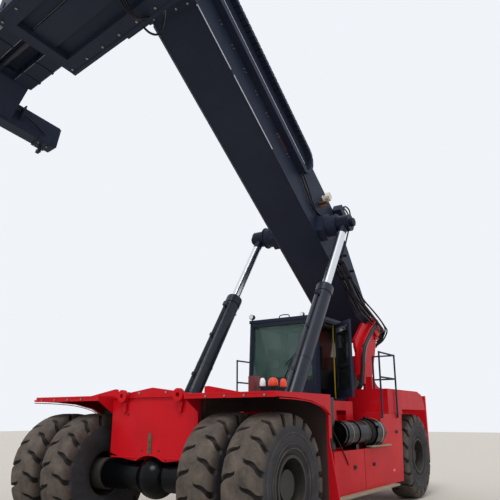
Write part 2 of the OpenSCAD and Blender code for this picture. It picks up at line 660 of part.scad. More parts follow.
// Cab
cab_low = deck_z + 80 + seat_gap;
module at_cab() machine() translate([-cab_front_back, 0, cab_low]) children();
door_front = -60;
door_rear = -870;
door_low = 120;
module cab_outline() polygon([
    [0, 0], [60, 500], [0, cab_h - 60], [-60, cab_h], [-cab_len, cab_h - 20], [-cab_len, 0]]);
door_top = cab_h - 100;
hinge_y = cab_half_w + 22;
hinge_pin_r = 8;
hinge_len = 80;
hinge_zs = [400, 1100];
window_low = 560;
window_top = cab_h - 130;
quarter_front = -1000;
quarter_rear = -1240;
screen_low = 420;
module cab_shell() color(black) at_cab() {
    for (z = hinge_zs) {
        translate([door_rear, hinge_y, z - 30]) cylinder(h = hinge_len + 60, r = hinge_pin_r, $fn = 32);
        for (k = [z - 30, z + hinge_len + seat_gap]) {
            block([door_rear - 60, cab_half_w - 1, k], [door_rear - 2, hinge_y + 14, k + 29.7]);
            block([door_rear - 3, cab_half_w + 4, k], [door_rear + 10, hinge_y + 14, k + 29.7]);
        }
    }
    cab_body();
    // roof rim, roof lamps on their feet and the wiper motor's cover
    difference() {
        block([-cab_len - 20, -cab_half_w - 20, cab_h - 70], [10, cab_half_w + 20, cab_h - 10]);
        block([-cab_len + 10, -cab_half_w + 10, cab_h - 71], [-70, cab_half_w - 10, cab_h - 9]);
    }
    for (y = [-cab_half_w + 30, cab_half_w - 30]) {
        translate([-20, y, cab_h - 11]) cylinder(h = 40, r = 12, $fn = 24);
        translate([-60, y, cab_h + 60]) shaft_x(0, 0, 48, 0, 80, 32);
    }
    block([-14, -90, screen_low - 110], [34, 90, screen_low - 30]);
}
module cab_body() difference() {
    slab(-cab_half_w, cab_half_w) cab_outline();
    slab(-cab_half_w + cab_wall, cab_half_w - cab_wall) offset(delta = -cab_wall) cab_outline();
    // windscreen, rear window, right side window, left quarter window and the doorway
    bulkhead(-90, 120) windscreen_outline();
    bulkhead(-cab_len - 1, -cab_len + 60) rear_window_outline();
    block([-cab_len + 110, -cab_half_w - 1, window_low], [-130, -cab_half_w + cab_wall + 1, window_top]);
    block([quarter_rear, cab_half_w - cab_wall - 1, window_low], [quarter_front, cab_half_w + 1, window_top]);
    block([door_rear, cab_half_w - cab_wall - 1, door_low], [door_front - 40, cab_half_w + 1, door_top]);
}
module windscreen_outline() polygon([[-640, screen_low], [640, screen_low], [620, window_top], [-620, window_top]]);
module rear_window_outline() polygon([[-600, 640], [600, 640], [600, window_top], [-600, window_top]]);
module cab_glass() color("#7fa39b") at_cab() {
    intersection() {
        slab(-640, 640) polygon([[30, screen_low - 20], [22, screen_low - 20], [42, 500], [-28, cab_h - 60], [-20, cab_h - 60], [50, 500]]);
        bulkhead(-90, 120) windscreen_outline();
    }
    bulkhead(-cab_len + 12, -cab_len + 20) rear_window_outline();
    block([-cab_len + 110, -cab_half_w + 10, window_low], [-130, -cab_half_w + 18, window_top]);
    block([quarter_rear, cab_half_w - 18, window_low], [quarter_front, cab_half_w - 10, window_top]);
}
// the door turns on its rear edge; it is drawn shut and stands open by door_open
pane_gaps = [[180, 560], [640, door_top - 190]];
module cab_door() color(black) at_cab()
    translate([door_rear, hinge_y, 0]) rotate([0, 0, door_open]) translate([-door_rear, -hinge_y, 0]) {
        for (z = hinge_zs) difference() {
            union() {
                translate([door_rear, hinge_y, z]) cylinder(h = hinge_len, r = 16, $fn = 32);
                block([door_rear + 2, cab_half_w - 1, z], [door_rear + 70, hinge_y + 8, z + hinge_len]);
            }
            translate([door_rear, hinge_y, z - 1]) cylinder(h = hinge_len + 2, r = hinge_pin_r + pin_gap, $fn = 32);
        }
        difference() {
            block([door_rear + 8, cab_half_w - cab_wall, door_low + 6], [door_front - 48, cab_half_w, door_top - 6]);
            for (gap = pane_gaps) block([door_rear + 80, cab_half_w - cab_wall - 1, door_low + gap[0]],
                [door_front - 110, cab_half_w + 1, door_low + gap[1]]);
        }
    }
module cab_seat() color("#2a2c30") at_cab() {
    block([-1050, -230, cab_wall], [-760, 230, 420]);
    block([-1090, -260, 420], [-600, 260, 540]);
    block([-1190, -240, 500], [-1085, 240, 1160]);
}
module cab_controls() color("#26282b") at_cab() {
    block([-300, -200, cab_wall], [-160, 200, 620]);
    translate([-230, 0, 555]) rotate([0, -30, 0]) cylinder(h = 200, r = 30, $fn = 24);
    translate([-330, 0, 720]) rotate([0, -30, 0]) cylinder(h = 12, r = 180, $fn = 48);
    translate([-330, 0, 726]) rotate([0, -30, 0]) rotate_extrude($fn = 48) translate([190, 0]) circle(r = 14, $fn = 16);
}

chassis_frame();
front_plate();
fender_left();
fender_right();
deck();
side_box_left();
side_box_right();
running_boards();
boom_tower();
counterweight();
engine_hood();
drive_axle();
steer_axle();
engine_block();
air_cleaner();
handrails();
exhaust();
twin_tyres(1);  // tyres_front_left
front_rims(1);  // rims_front_left
twin_tyres(-1);  // tyres_front_right
front_rims(-1);  // rims_front_right
rear_tyre(1);  // tyre_rear_left
rear_rim(1);  // rim_rear_left
rear_tyre(-1);  // tyre_rear_right
rear_rim(-1);  // rim_rear_right
knuckle(1);  // knuckle_left
knuckle(-1);  // knuckle_right
boom_base();
hose_track();
work_lamps();
inner_boom();
lift_barrel(1);  // lift_barrel_left
lift_barrel(-1);  // lift_barrel_right
lift_rod(1);  // lift_rod_left
lift_rod(-1);  // lift_rod_right
spreader_yoke();
rotator();
spreader_frame();
end_beam(1);  // end_beam_left
end_beam(-1);  // end_beam_right
cab_shell();
cab_glass();
cab_door();
cab_seat();
cab_controls();
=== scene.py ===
import json
import math

import bpy
import bmesh
from mathutils import Matrix, Vector
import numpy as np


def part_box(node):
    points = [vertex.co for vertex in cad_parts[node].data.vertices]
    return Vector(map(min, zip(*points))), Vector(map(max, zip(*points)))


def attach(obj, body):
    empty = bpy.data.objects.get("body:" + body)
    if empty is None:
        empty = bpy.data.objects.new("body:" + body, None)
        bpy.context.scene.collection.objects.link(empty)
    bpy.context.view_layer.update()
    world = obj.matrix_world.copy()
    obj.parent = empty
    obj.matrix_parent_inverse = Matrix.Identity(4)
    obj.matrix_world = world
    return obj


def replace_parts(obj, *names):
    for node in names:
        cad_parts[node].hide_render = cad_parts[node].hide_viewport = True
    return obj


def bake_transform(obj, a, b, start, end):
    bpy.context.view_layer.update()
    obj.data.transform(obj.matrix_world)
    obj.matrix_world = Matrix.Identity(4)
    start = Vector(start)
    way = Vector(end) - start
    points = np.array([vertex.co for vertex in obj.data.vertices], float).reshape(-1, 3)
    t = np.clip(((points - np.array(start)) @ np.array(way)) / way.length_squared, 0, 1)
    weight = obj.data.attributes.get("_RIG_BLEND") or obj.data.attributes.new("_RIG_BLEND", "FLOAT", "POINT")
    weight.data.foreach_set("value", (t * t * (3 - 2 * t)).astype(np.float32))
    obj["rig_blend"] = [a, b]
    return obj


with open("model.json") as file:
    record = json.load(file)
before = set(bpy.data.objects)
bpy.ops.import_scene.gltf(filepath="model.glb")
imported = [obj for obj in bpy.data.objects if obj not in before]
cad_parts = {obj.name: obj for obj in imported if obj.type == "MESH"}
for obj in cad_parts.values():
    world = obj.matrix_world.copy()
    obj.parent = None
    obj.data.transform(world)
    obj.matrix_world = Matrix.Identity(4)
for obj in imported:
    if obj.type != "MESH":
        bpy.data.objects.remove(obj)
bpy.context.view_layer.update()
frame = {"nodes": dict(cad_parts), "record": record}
scene = bpy.context.scene
nodes = frame["nodes"]
record = frame["record"]
print("frame loaded:", len(nodes), "nodes")

# places to draw in: the front axle on the ground, and the frames of the parts that turn or slide;
# the lift cylinders' pin is given in the boom's own frame


def jointNamed(name):
    return next(joint for joint in record["behaviour"]["joints"] if joint["name"] == name)


def placeAt(origin, along, left):
    forward = Vector(along).normalized()
    side = (Vector(left) - forward * forward.dot(Vector(left))).normalized()
    axes = Matrix((forward, side, forward.cross(side))).transposed()
    return Matrix.Translation(origin) @ axes.to_4x4()


def middle(node):
    low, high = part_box(node)
    return (low + high) / 2


axleX = middle("tyres_front_left").x
machine = Matrix.Translation((axleX, 0.0, 0.0))
boom = placeAt(jointNamed("boom_lift")["pos_m"], [-v for v in jointNamed("boom_extend")["axis"]], (0, 1, 0))
liftPin = Vector((3.017, 0.0, 0.072))
turnDown = Vector(jointNamed("spreader_turn")["axis"])
shiftLeft = Vector(jointNamed("side_shift")["axis"])
hanger = placeAt(jointNamed("spreader_level")["pos_m"], shiftLeft.cross(-turnDown), shiftLeft)
doorPost = Vector(jointNamed("cab_door_swing")["pos_m"])
cabSize = {"doorRear": -0.87, "low": 1.78, "halfWidth": 0.72, "doorOpen": 45}
cab = Matrix.Translation((doorPost.x - cabSize["doorRear"], 0.0, cabSize["low"]))
hinge = Matrix.Translation((doorPost.x, doorPost.y, 0.0))
openDoor = hinge @ Matrix.Rotation(math.radians(cabSize["doorOpen"]), 4, "Z") @ hinge.inverted() @ cab


def liftFrame(side):
    foot = jointNamed(side + "_cylinder_tilt")["pos_m"]
    return placeAt(foot, jointNamed(side + "_cylinder_stroke")["axis"], (0, 1, 0))


# the photo's own camera, found from the tyres: it stands low, ahead of the machine and to its left
photoCamera = {"ahead": 6.252, "left": 5.529, "height": 1.559, "turn": 33.09, "lift": 16.01, "roll": -0.08,
               "focal": 584.0, "frame": 500.0}


def makeCamera(spec):
    turn, lift = math.radians(spec["turn"]), math.radians(spec["lift"])
    look = Vector((-math.cos(turn) * math.cos(lift), -math.sin(turn) * math.cos(lift), math.sin(lift)))
    right = look.cross(Vector((0, 0, 1))).normalized()
    up = right.cross(look)
    spin = Matrix.Rotation(math.radians(-spec["roll"]), 3, look)
    right, up = spin @ right, spin @ up
    data = bpy.data.cameras.new("photoCamera")
    data.sensor_width = 36.0
    data.lens = data.sensor_width * spec["focal"] / spec["frame"]
    data.clip_end = 400.0
    camera = bpy.data.objects.new("photoCamera", data)
    turned = Matrix((right, up, -look)).transposed().to_4x4()
    camera.matrix_world = machine @ Matrix.Translation((spec["ahead"], spec["left"], spec["height"])) @ turned
    scene.collection.objects.link(camera)
    scene.camera = camera


makeCamera(photoCamera)

# materials


def linear(hexColour):
    parts = [int(hexColour[i:i + 2], 16) / 255 for i in (1, 3, 5)]
    return tuple(p / 12.92 if p <= 0.04045 else ((p + 0.055) / 1.055) ** 2.4 for p in parts) + (1.0,)


class Wire:
    # a number on its way through a material: Python operators add the Math nodes
    def __init__(self, paint, socket):
        self.paint, self.socket = paint, socket

    def math(self, operation, *others):
        node = self.paint.tree.nodes.new("ShaderNodeMath")
        node.operation = operation
        for slot, value in zip(node.inputs, (self,) + others):
            self.paint.plug(value, slot)
        return Wire(self.paint, node.outputs[0])

    def __add__(self, other):
        return self.math("ADD", other)

    def __mul__(self, other):
        return self.math("MULTIPLY", other)

    def __rsub__(self, other):
        return (self * -1.0) + other

    __radd__ = __add__
    __rmul__ = __mul__

    def clamp(self):
        return self.math("MINIMUM", 1.0).math("MAXIMUM", 0.0)


class Paint:
    # one material: node() makes any shader node from its settings and the values or links of its sockets
    def __init__(self, name):
        self.material = bpy.data.materials.new(name)
        self.material.use_nodes = True
        self.tree = self.material.node_tree
        self.shader = self.tree.nodes["Principled BSDF"]
        self.coords = self.tree.nodes.new("ShaderNodeTexCoord").outputs["Object"]

    def plug(self, value, slot):
        if isinstance(value, Wire):
            self.tree.links.new(value.socket, slot)
        elif isinstance(value, bpy.types.NodeSocket):
            self.tree.links.new(value, slot)
        else:
            slot.default_value = value

    def node(self, kind, settings=None, out=0, **sockets):
        made = self.tree.nodes.new("ShaderNode" + kind)
        for key, value in (settings or {}).items():
            setattr(made, key, value)
        for key, value in sockets.items():
            self.plug(value, made.inputs[key.replace("_", " ")])
        return made.outputs[out]

    def noise(self, scale, detail=4.0, roughness=0.55, coords=None):
        return Wire(self, self.node("TexNoise", Vector=coords or self.coords, Scale=scale, Detail=detail,
                                    Roughness=roughness))

    def stretched(self, factors):
        return self.node("Mapping", Vector=self.coords, Scale=factors)

    def axis(self, name):
        return Wire(self, self.node("SeparateXYZ", out={"X": 0, "Y": 1, "Z": 2}[name], Vector=self.coords))

    def mask(self, wire, low, high):
        return Wire(self, self.node("MapRange", Value=wire, From_Min=low, From_Max=high))

    def mix(self, factor, first, second):
        made = self.tree.nodes.new("ShaderNodeMix")
        made.data_type = "RGBA"
        for value, slot in ((factor, 0), (first, 6), (second, 7)):
            self.plug(value, made.inputs[slot])
        return made.outputs[2]

    def upFacing(self):
        normal = self.tree.nodes.new("ShaderNodeNewGeometry").outputs["Normal"]
        return self.mask(Wire(self, self.node("SeparateXYZ", out=2, Vector=normal)), 0.3, 0.9)

    def bump(self, height, strength, distance):
        self.plug(self.node("Bump", Height=height, Strength=strength, Distance=distance),
                  self.shader.inputs["Normal"])

    def finish(self, **sockets):
        for key, value in sockets.items():
            self.plug(value, self.shader.inputs[key.replace("_", " ")])
        return self.material


def dustyPaint(name, colour, worn, dust, gloss, dustAmount, coat=0.0, shine=0.5):
    # factory paint with faded patches, fine dirt and dust that gathers on what faces up and near the ground
    paint = Paint(name)
    patches = paint.mask(paint.noise(1.3, 6.0), 0.42, 0.68)
    grime = paint.mask(paint.noise(9.0, 8.0, 0.65), 0.5, 0.78)
    low = 1.0 - paint.mask(paint.axis("Z"), 0.3, 1.9)
    streaks = paint.mask(paint.noise(6.0, 5.0, coords=paint.stretched((1.0, 1.0, 0.12))), 0.5, 0.75)
    cover = ((paint.upFacing() * 0.8 + low * 0.55 + 0.12) * (grime * 0.6 + 0.4) * dustAmount).clamp()
    base = paint.mix(patches * 0.5, linear(colour), linear(worn))
    base = paint.mix(streaks * 0.22, base, linear(worn))
    base = paint.mix(cover, base, linear(dust))
    paint.bump(paint.noise(160.0, 2.0), 0.06, 0.002)
    dull = (cover * 0.4 + patches * 0.08 + gloss).clamp()
    return paint.finish(Base_Color=base, Roughness=dull, Metallic=0.0, Coat_Weight=coat,
                        Specular_IOR_Level=shine)


def rodChrome(name):
    # bright along the rod, black paint on the eye and its collar
    paint = Paint(name)
    along = Vector(jointNamed("left_cylinder_stroke")["axis"])
    eye = boom @ liftPin
    reach = paint.axis("X") * along.x + paint.axis("Z") * along.z
    black = paint.mask(reach, along.dot(eye) - 0.33, along.dot(eye) - 0.325)
    wear = paint.mask(paint.noise(30.0, 6.0), 0.55, 0.8)
    base = paint.mix(wear * 0.2, linear("#dcdee2"), linear("#a39f96"))
    return paint.finish(Base_Color=paint.mix(black, base, linear("#141a2a")), Metallic=1.0 - black,
                        Roughness=(wear * 0.06 + black * 0.2 + 0.22).clamp(), Specular_IOR_Level=0.15)


def tyreRubber(name):
    # brown dust on the tread, grey side walls, and painted shade that darkens the grooves to near black; the
    # mesh says which is which
    paint = Paint(name)
    cut = Wire(paint, paint.node("Attribute", {"attribute_name": "cut"}, out=2))
    wall = Wire(paint, paint.node("Attribute", {"attribute_name": "wall"}, out=2))
    dust = paint.mask(paint.noise(5.0, 8.0, 0.7), 0.35, 0.75)
    fine = paint.noise(90.0, 4.0)
    tread = paint.mix(dust * 0.75, linear("#37302b"), linear("#6f6156"))
    side = paint.mix(dust * 0.6, linear("#24252a"), linear("#46464a"))
    base = paint.mix(wall, tread, side)
    base = paint.mix(paint.mask(fine, 0.45, 0.8) * 0.25, base, linear("#1b1a19"))
    # the groove's depth share darkens the rubber: painted shade in the grooves
    base = paint.mix(paint.mask(cut, 0.25, 0.95) * 0.85, base, linear("#0c0b0b"))
    paint.bump(fine * 0.5 + paint.noise(22.0, 5.0), 0.35, 0.006)
    return paint.finish(Base_Color=base, Roughness=0.88)


def tintedGlass(name, colour, film, cover):
    paint = Paint(name)
    smear = paint.mask(paint.noise(3.0, 6.0), 0.4, 0.75)
    return paint.finish(Base_Color=paint.mix(smear * 0.3, linear(colour), linear(film)),
                        Roughness=smear * 0.12 + 0.06, Alpha=smear * 0.1 + cover)


def plainFinish(name, colour, roughness, metallic=0.0, glow=0.0, worn="#6b6358", shine=0.5):
    paint = Paint(name)
    spots = paint.mask(paint.noise(25.0, 5.0), 0.45, 0.8)
    base = paint.mix(spots * 0.25, linear(colour), linear(worn))
    return paint.finish(Base_Color=base, Roughness=spots * 0.15 + roughness, Metallic=metallic,
                        Emission_Color=linear(colour), Emission_Strength=glow, Specular_IOR_Level=shine)


finishes = {
    "red_paint": dustyPaint("redPaint", "#c2101c", "#a20f1b", "#7a4f48", 0.4, 0.11, 0.06, 0.08),
    "black_paint": dustyPaint("blackPaint", "#252c3d", "#2c3444", "#4a4d55", 0.45, 0.06, 0.0, 0.1),
    "grey_paint": dustyPaint("greyPaint", "#161b29", "#1e2432", "#56555a", 0.34, 0.12, 0.15, 0.25),
    # black paint made near black: partly the black paint's own colour, partly painted shade for the unlit
    # axles and air cleaner
    "black_with_painted_shade": dustyPaint("blackWithPaintedShade", "#040507", "#08090c", "#1c1b1a", 0.24, 0.02, 0.0, 0.14),
    "rim_paint": dustyPaint("rimPaint", "#171616", "#242120", "#5d5348", 0.6, 0.7),
    "tread_plate": dustyPaint("treadPlate", "#8d7f6b", "#6f6353", "#a99a84", 0.75, 0.9),
    "cast_grey": dustyPaint("castGrey", "#4a4c4e", "#3a3a38", "#6b6358", 0.6, 0.6),
    "exhaust_steel": dustyPaint("exhaustSteel", "#3c3a37", "#5a4436", "#6b6358", 0.6, 0.5),
    "lamp_body": dustyPaint("lampBody", "#cfcabd", "#b5ad9c", "#8f8676", 0.35, 0.3),
    "seat_cloth": dustyPaint("seatCloth", "#202125", "#2b2c30", "#5c564c", 0.85, 0.3),
    "cab_plastic": dustyPaint("cabPlastic", "#242629", "#2e3033", "#5c564c", 0.6, 0.3),
    "rod_chrome": rodChrome("rodChrome"),
    "tyre_rubber": tyreRubber("tyreRubber"),
    "window_glass": tintedGlass("windowGlass", "#35564f", "#72897f", 0.62),
    # a darker copy of the window glass: painted shade for the dark machine seen through the door
    "door_glass_painted_shade": tintedGlass("doorGlassPaintedShade", "#1d2423", "#333c3a", 0.8),
    "hose": plainFinish("hoseRubber", "#0a0c12", 0.4, worn="#181b22", shine=0.25),
    # dark brown for the sheets under and beside the fenders: painted shade
    "painted_shade": plainFinish("paintedShadeCoat", "#3a2a27", 0.9, worn="#543c35"),
    "gasket": plainFinish("gasketRubber", "#0a0a0b", 0.6, worn="#222326"),
    "bolt": plainFinish("boltSteel", "#8f8d88", 0.4, 0.8),
    # the light grey of the strips along the boom's edges: a painted highlight
    "shine": plainFinish("paintedEdgeHighlight", "#c3c9d3", 0.3, worn="#9298a4"),
    "faded": plainFinish("fadedRed", "#43202a", 0.6, worn="#2c2230"),
    "weld": plainFinish("weldBead", "#7d8088", 0.35, 0.5),
    "grey": plainFinish("greyBand", "#9a9a98", 0.45),
    "olive": plainFinish("olivePlate", "#4d4634", 0.6),
    "yellow": plainFinish("yellowGrip", "#d8b21a", 0.45),
    # the white and orange finishes glow faintly; on the dash knobs and the side reflector, which are no lamps,
    # this glow is painted light
    "white": plainFinish("whiteLens", "#eef1f2", 0.2, 0.0, 0.1),
    "orange": plainFinish("orangeLens", "#e2401a", 0.25, 0.0, 0.1),
    "darkRed": plainFinish("darkRed", "#6e1418", 0.4),
    "rust": plainFinish("rustySteel", "#6a3d22", 0.75),
    "seam": plainFinish("darkSeam", "#120607", 0.8),
    "deepBlack": plainFinish("deepBlack", "#08080a", 0.7),
}
slotOf = {entry["node"]: entry["material_slot"] for entry in record["subparts"]}
# the axles and the air cleaner get the darker black, which paints their shade into the colour
slotOf.update({"drive_axle": "black_with_painted_shade", "steer_axle": "black_with_painted_shade", "air_cleaner": "black_with_painted_shade"})
for name, part in nodes.items():
    part.data.materials.clear()
    part.data.materials.append(finishes[slotOf[name]])
print("finishes on", len(nodes), "CAD pieces")

# shapes


class Shape:
    # one dressing piece, drawn in its own place and joined; ride() makes the object that moves with a body
    def __init__(self, place):
        self.place, self.mesh = place, bmesh.new()

    def skin(self, rings, closed=False):
        rows = [[self.mesh.verts.new(point) for point in ring] for ring in rings]
        count = len(rows[0])
        pairs = list(zip(rows, rows[1:])) + ([(rows[-1], rows[0])] if closed else [])
        for low, high in pairs:
            for i in range(count):
                self.mesh.faces.new((low[i], low[(i + 1) % count], high[(i + 1) % count], high[i]))
        if not closed:
            self.mesh.faces.new(rows[0][::-1])
            self.mesh.faces.new(rows[-1])
        return self

    def box(self, low, high):
        corners = [(0, 0), (1, 0), (1, 1), (0, 1)]
        span = (low, high)
        return self.skin([[(span[i][0], span[j][1], span[k][2]) for i, j in corners] for k in (0, 1)])

    def prism(self, outline, axis, low, high):
        # the outline lies across the axis, which runs from low to high
        order = {"X": (2, 0, 1), "Y": (0, 2, 1), "Z": (0, 1, 2)}[axis]
        return self.skin([[[(a, b, level)[i] for i in order] for a, b in outline] for level in (low, high)])

    def turned(self, centre, axis, profile, sides=32, loop=False):
        # a lathe: profile lists (radius, distance along the axis); a loop closes on itself, as a ring does
        line = Vector(axis).normalized()
        across = line.orthogonal().normalized()
        other = line.cross(across)
        rings = []
        for radius, along in profile:
            rings.append([Vector(centre) + line * along + across * radius * math.cos(turn)
                          + other * radius * math.sin(turn)
                          for turn in (2 * math.pi * i / sides for i in range(sides))])
        return self.skin(rings, closed=loop)

    def rod(self, start, end, radius, sides=16):
        line = Vector(end) - Vector(start)
        return self.turned(start, line, [(radius, 0.0), (radius, line.length)], sides)

    def ring(self, centre, axis, inner, outer, depth, sides=48):
        profile = [(inner, 0.0), (outer, 0.0), (outer, depth), (inner, depth)]
        return self.turned(centre, axis, profile, sides, True)

    def hose(self, points, radius, sides=10, steps=5):
        # a tube along a smooth line through the points
        knots = [Vector(p) for p in points]
        ends = [knots[0] * 2 - knots[1]] + knots + [knots[-1] * 2 - knots[-2]]
        line = []
        for a, b, c, d in zip(ends, ends[1:], ends[2:], ends[3:]):
            for k in range(steps):
                t = k / steps
                line.append(0.5 * (2 * b + (c - a) * t + (2 * a - 5 * b + 4 * c - d) * t ** 2
                                   + (3 * b - a - 3 * c + d) * t ** 3))
        line.append(knots[-1])
        across = (line[1] - line[0]).orthogonal().normalized()
        rings = []
        for i, point in enumerate(line):
            along = (line[min(i + 1, len(line) - 1)] - line[max(i - 1, 0)]).normalized()
            across = (across - along * along.dot(across)).normalized()
            other = along.cross(across)
            rings.append([point + across * radius * math.cos(turn) + other * radius * math.sin(turn)
                          for turn in (2 * math.pi * j / sides for j in range(sides))])
        return self.skin(rings)

    def take(self, mesh):
        self.mesh.from_mesh(mesh)
        return self

    def object(self, name, finish, soften=0.0):
        bmesh.ops.recalc_face_normals(self.mesh, faces=self.mesh.faces)
        if soften:
            sharp = [edge for edge in self.mesh.edges if edge.calc_face_angle(0.0) > math.radians(40)]
            bmesh.ops.bevel(self.mesh, geom=sharp, offset=soften, segments=2, affect="EDGES", profile=0.7)
        made = bpy.data.meshes.new(name)
        self.mesh.to_mesh(made)
        self.mesh.free()
        made.transform(self.place)
        made.polygons.foreach_set("use_smooth", [True] * len(made.polygons))
        made.set_sharp_from_angle(angle=math.radians(38))
        made.materials.append(finishes[finish])
        piece = bpy.data.objects.new(name, made)
        scene.collection.objects.link(piece)
        return piece

    def ride(self, name, body, finish, soften=0.0):
        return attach(self.object(name, finish, soften), body)


class Tree:
    # a Geometry Nodes group with named inputs; mesh() runs it once and gives the plain mesh
    def __init__(self, name, inputs):
        self.group = bpy.data.node_groups.new(name, "GeometryNodeTree")
        self.group.interface.new_socket("Geometry", in_out="OUTPUT", socket_type="NodeSocketGeometry")
        self.identifiers = {}
        for label, kind in inputs.items():
            made = self.group.interface.new_socket(label, in_out="INPUT", socket_type="NodeSocket" + kind)
            self.identifiers[label] = made.identifier
        self.given = self.group.nodes.new("NodeGroupInput").outputs
        self.result = self.group.nodes.new("NodeGroupOutput").inputs[0]

    def node(self, kind, settings=None, out=0, **sockets):
        made = self.group.nodes.new("GeometryNode" + kind)
        for key, value in (settings or {}).items():
            setattr(made, key, value)
        for key, value in sockets.items():
            slot = made.inputs[key.replace("_", " ")]
            if isinstance(value, bpy.types.NodeSocket):
                self.group.links.new(value, slot)
            else:
                slot.default_value = value
        return made.outputs[out]

    def finish(self, geometry):
        real = self.node("RealizeInstances", Geometry=geometry)
        painted = self.node("SetMaterial", Geometry=real, Material=self.given["Finish"])
        self.group.links.new(painted, self.result)
        return self

    def mesh(self, values):
        holder = bpy.data.objects.new("treeHolder", bpy.data.meshes.new("treeHolder"))
        scene.collection.objects.link(holder)
        modifier = holder.modifiers.new("tree", "NODES")
        modifier.node_group = self.group
        for label, value in values.items():
            modifier[self.identifiers[label]] = value
        made = bpy.data.meshes.new_from_object(holder.evaluated_get(bpy.context.evaluated_depsgraph_get()))
        holder.modifiers.remove(modifier)
        bpy.data.objects.remove(holder)
        return made


def makeBoltRow():
    # a straight row of hexagon heads
    tree = Tree("boltRow", {"Count": "Int", "Start": "Vector", "Step": "Vector", "Radius": "Float",
                            "Depth": "Float", "Tilt": "Rotation", "Finish": "Material"})
    given = tree.given
    line = tree.node("MeshLine", Count=given["Count"], Start_Location=given["Start"], Offset=given["Step"])
    head = tree.node("MeshCylinder", Vertices=6, Radius=given["Radius"], Depth=given["Depth"])
    return tree.finish(tree.node("InstanceOnPoints", Points=line, Instance=head, Rotation=given["Tilt"]))


def makeBoltCircle():
    # hexagon heads round a circle, as on a rim; Tilt turns the circle to face along an axis
    tree = Tree("boltCircle", {"Count": "Int", "Reach": "Float", "Radius": "Float", "Depth": "Float",
                               "Place": "Vector", "Tilt": "Rotation", "Finish": "Material"})
    given = tree.given
    circle = tree.node("MeshCircle", Vertices=given["Count"], Radius=given["Reach"])
    head = tree.node("MeshCylinder", Vertices=6, Radius=given["Radius"], Depth=given["Depth"])
    copies = tree.node("InstanceOnPoints", Points=circle, Instance=head)
    heads = tree.node("RealizeInstances", Geometry=copies)
    placed = tree.node("Transform", Geometry=heads, Translation=given["Place"], Rotation=given["Tilt"])
    return tree.finish(placed)


boltRow = makeBoltRow()
boltCircle = makeBoltCircle()
towards = {"X": (0.0, math.pi / 2, 0.0), "Y": (math.pi / 2, 0.0, 0.0), "Z": (0.0, 0.0, 0.0)}


def bolts(name, body, place, rows, radius, depth):
    # rows: count, first place, step to the next, direction the heads face
    shape = Shape(place)
    for count, start, step, facing in rows:
        shape.take(boltRow.mesh({"Count": count, "Start": start, "Step": step, "Radius": radius,
                                 "Depth": depth, "Tilt": towards[facing], "Finish": finishes["bolt"]}))
    return shape.ride(name, body, "bolt")


def boltRing(name, body, place, centre, facing, count, reach, radius, depth):
    heads = Shape(place)
    heads.take(boltCircle.mesh({"Count": count, "Reach": reach, "Radius": radius, "Depth": depth,
                                "Place": centre, "Tilt": towards[facing], "Finish": finishes["bolt"]}))
    return heads.ride(name, body, "bolt")


def boxes(name, body, place, spans, finish, soften=0.0):
    # flat or square parts, each given by two opposite corners
    shape = Shape(place)
    for low, high in spans:
        shape.box(low, high)
    return shape.ride(name, body, finish, soften)


def hoses(place, routes, radius, sides=8, steps=5):
    shape = Shape(place)
    for route in routes:
        shape.hose(route, radius, sides, steps)
    return shape


def outOf(side):
    return 1 if side == "left" else -1


def mirrored(side):
    # the machine's place with y pointing out of the side
    return machine @ Matrix.Scale(outOf(side), 4, (0, 1, 0))


# boom: welds, painted highlights along the chain lip and the bottom crease, bolts, hoses and the collars of
# the lift cylinders' bosses

boomSize = {"low": -0.23, "half": 0.463, "weldStart": 0.95, "weldEnd": 8.0, "seamUp": 0.3, "lipEnd": 8.02,
            "mouthBolts": 8.1, "bossFace": 0.835}


def dressBoom(size):
    half, low, start, end = size["half"], size["low"], size["weldStart"], size["weldEnd"]
    welds = Shape(boom)
    for y in (-half, half):
        welds.hose([(s, y, low) for s in (start, 3.0, 5.5, end)], 0.006, 6, 2)
        welds.hose([(s, y * 1.002, size["seamUp"]) for s in (3.6, 5.5, end)], 0.005, 6, 2)
    welds.ride("boomWelds", "boom", "weld")
    boxes("boomGrooves", "boom", boom,
          [((start, y - 0.002, low + 0.012), (end, y + 0.002, low + 0.024)) for y in (-0.4635, 0.4635)],
          "deepBlack")
    bolts("boomSideBolts", "boom", boom,
          [(8, (4.74 + pair, 0.471, 0.2), (0.46, 0.0, 0.0), "Y") for pair in (0.0, 0.07)], 0.016, 0.02)
    # light grey strips along the chain lip's edge and the bottom crease: painted highlights
    boxes("chainLipPaintedHighlights", "boom", boom,
          [((4.4, 0.6, 0.4), (size["lipEnd"], 0.616, 0.412))]
          + [((first, 0.4632, low - 0.012), (last, 0.488, low + 0.002))
             for first, last in ((5.2, 6.74), (6.85, size["lipEnd"]))], "shine")
    boxes("fadedPatch", "boom", boom, [((4.85, 0.4625, 0.2), (5.25, 0.4655, 0.3))], "faded")
    bolts("mouthBolts", "boom", boom,
          [(5, (size["mouthBolts"], y, -0.1), (0.0, 0.0, 0.22), "Y") for y in (-0.512, 0.512)]
          + [(4, (size["mouthBolts"], -0.36, -0.28), (0.0, 0.24, 0.0), "Z")], 0.02, 0.024)
    boxes("wearPadCovers", "boom", boom,
          [((8.14, 0.503, t), (8.26, 0.509, t + 0.1)) for t in (0.05, 0.45, 0.75)], "grey")
    collars = Shape(boom)
    for y in (-1, 1):
        collars.turned((liftPin.x, y * size["bossFace"], liftPin.z), (0, y, 0),
                       [(0.215, 0.0), (0.23, 0.004), (0.23, 0.02), (0.215, 0.024)], 48)
    collars.ride("bossCollars", "boom", "black_paint")


dressBoom(boomSize)

